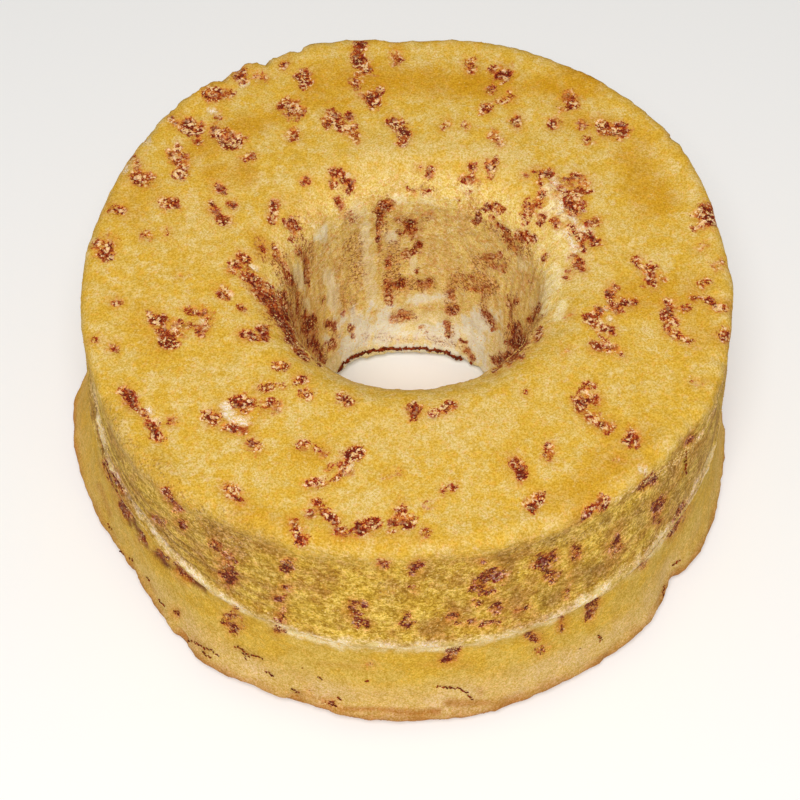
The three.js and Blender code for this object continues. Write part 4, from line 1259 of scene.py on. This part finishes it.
f = Finish("pale_crumb", 0.85, paint(238, 210, 150), specular=0.15)
f.lay(f.mask("tint"), paint(226, 180, 98))
f.wear(pale_crumbs, f.bump(f.noise(0.35, 2), 0.1))
print(pale_crumbs.name, 8 * PALE_CRUMBS, "triangles")

# %% [markdown]
# ## Crust grains
# The crust itself is rough to the touch: it sheds grains as big as coarse sugar. They wear the same
# finish as the crust, so each grain carries the masks of the place it lies on and takes its colour from
# there.

# %% Crust grains
CRUST_GRAINS = 20000
grain_weight = 0.35 + off_table + 1.5 * at_rim + 1.2 * at_edge + 0.8 * on_wall
grain_points, grain_normals, grain_places = scatter(grain_weight * (height > 2), CRUST_GRAINS)
grain_sizes = rng.uniform([0.5, 0.45, 0.35], [1.2, 1.0, 0.7], (CRUST_GRAINS, 3))
grain_masks = {key: values[grain_places] for key, values in masks.items()}
crust_grains = make_flakes("crust_grains", grain_points, grain_normals, grain_sizes, 0.22, grain_masks)
crust_grains.data.materials.append(crust_finish.material)
print(crust_grains.name, 8 * CRUST_GRAINS, "triangles")

# %% [markdown]
# ## Cracks and pits
# Near the foot the lip is cracked, and here and there a burnt speck sits in a pit. They are dark flakes
# laid along short ways that the photograph shows, each where its ray meets the crust. The torn foot of
# the hole's far wall is a dark, ragged edge of the same kind.

# %% Cracks and pits
CRACK_WAYS = [
    [(236, 645), (243, 650), (250, 656), (258, 655), (263, 660)], [(244, 652), (247, 660)],
    [(266, 671), (274, 676)], [(292, 689), (300, 693)],
    [(190, 640), (197, 643), (205, 648), (212, 650), (220, 657)], [(203, 652), (212, 658)],
    [(437, 686), (447, 687), (459, 688), (467, 693), (473, 700)], [(318, 677), (323, 680)],
    [(338, 697), (343, 700)], [(598, 635), (600, 640), (599, 642)], [(601, 637), (602, 640)],
    [(366, 681), (371, 679)], [(580, 649), (581, 650)], [(131, 558), (135, 562)], [(147, 577), (151, 582)],
    [(175, 611), (180, 615)], [(303, 668), (304, 670)], [(108, 523), (112, 530)], [(121, 551), (125, 555)],
    [(160, 600), (166, 607)], [(330, 703), (337, 706)], [(180, 525), (183, 530)], [(686, 452), (685, 474)],
    [(679, 560), (672, 566)], [(664, 585), (662, 596)],
]
FOOT_WAY = [
    (338, 371), (343, 364), (350, 358), (360, 354), (372, 350), (386, 348), (400, 349), (415, 348),
    (430, 349), (443, 351), (455, 356), (466, 361), (475, 366), (480, 371),
]
CRACK_STEP = 1.6
skin_tree = BVHTree.FromPolygons([tuple(p) for p in skin.reshape(-1, 3)], faces.tolist())


def on_crust(x, y):
    """Where a spot of the photograph lies on the finished skin, and the direction out of it."""
    middle = PHOTO_SIZE / 2
    ray = view_forward + ((x - middle) * view_right - (y - middle) * view_up) / FOCAL_PIXELS
    place, normal = skin_tree.ray_cast(Vector(camera_place), Vector(ray).normalized())[:2]
    return None if place is None else (np.array(place), np.array(normal))


crack_points, crack_normals, crack_sizes = [], [], []
for way, thick in [*((way, 1.0) for way in CRACK_WAYS), (FOOT_WAY, 2.1)]:
    for (x0, y0), (x1, y1) in zip(way, way[1:]):
        steps = max(1, round(math.hypot(x1 - x0, y1 - y0) / CRACK_STEP))
        for step in range(steps):
            share = step / steps
            x, y = x0 + (x1 - x0) * share, y0 + (y1 - y0) * share
            hit = on_crust(x + rng.normal(0, 0.5), y + rng.normal(0, 0.5))
            if hit is not None:
                crack_points.append(hit[0] + 0.25 * hit[1])
                crack_normals.append(hit[1])
                crack_sizes.append(np.array([1.3, 0.75, 0.6]) * thick * rng.uniform(0.7, 1.3))
crack_masks = {"tint": rng.uniform(0, 0.45, len(crack_points))}
crack_arrays = [np.array(part) for part in (crack_points, crack_normals, crack_sizes)]
cracks = make_flakes("crack_flakes", *crack_arrays, 0.0, crack_masks)
cracks.data.materials.append(chocolate_finish.material)
print(cracks.name, len(crack_points), "flakes")

# %% [markdown]
# ## Riding on the frame
# Every piece moves with the cake's one body, and together they stand for its plain solid.

# %% Pieces on the body
dressed = [(crust, "crust"), (crust_grains, "crust"), (pale_crumbs, "crust")]
dressed += [(flakes, "sprinkles"), (cracks, "sprinkles")]
for piece, slot in dressed:
    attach(piece, "root")
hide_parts("cake")
print("pieces:", [piece.name for piece, slot in dressed])

# %% [markdown]
# ## Floor and light
# A plain pale floor and soft studio light: one broad lamp close to the camera, because the photograph has
# hardly any shadow on the cake, and a pale sky that fills the rest.

# %% Studio
FLOOR_REACH = 3.0
floor_corners = [(FLOOR_REACH * x, FLOOR_REACH * y, 0) for x, y in ((-1, -1), (1, -1), (1, 1), (-1, 1))]
floor_mesh = bpy.data.meshes.new("floor")
floor_mesh.from_pydata(floor_corners, [], [(0, 1, 2, 3)])
floor = bpy.data.objects.new("floor", floor_mesh)
bpy.context.scene.collection.objects.link(floor)
Finish("pale_floor", 0.7, paint(246, 245, 243)).wear(floor)

LAMP_PLACE = Vector((-0.04, -0.72, 1.36))
CAKE_MIDDLE = Vector((0, 0, 0.06))
lamp_data = bpy.data.lights.new("key_lamp", "AREA")
lamp_data.shape = "DISK"
lamp_data.size = 0.7
lamp_data.energy = 19.9
lamp = bpy.data.objects.new("key_lamp", lamp_data)
lamp.location = LAMP_PLACE
lamp.rotation_euler = (CAKE_MIDDLE - LAMP_PLACE).to_track_quat("-Z", "Y").to_euler()
bpy.context.scene.collection.objects.link(lamp)
world = bpy.data.worlds.new("studio")
world.use_nodes = True
sky = world.node_tree.nodes["Background"].inputs
sky["Color"].default_value = (1.0, 0.99, 0.97, 1)
sky["Strength"].default_value = 0.32
bpy.context.scene.world = world
bpy.context.scene.view_settings.view_transform = "Standard"
print("one lamp and the floor are in place")
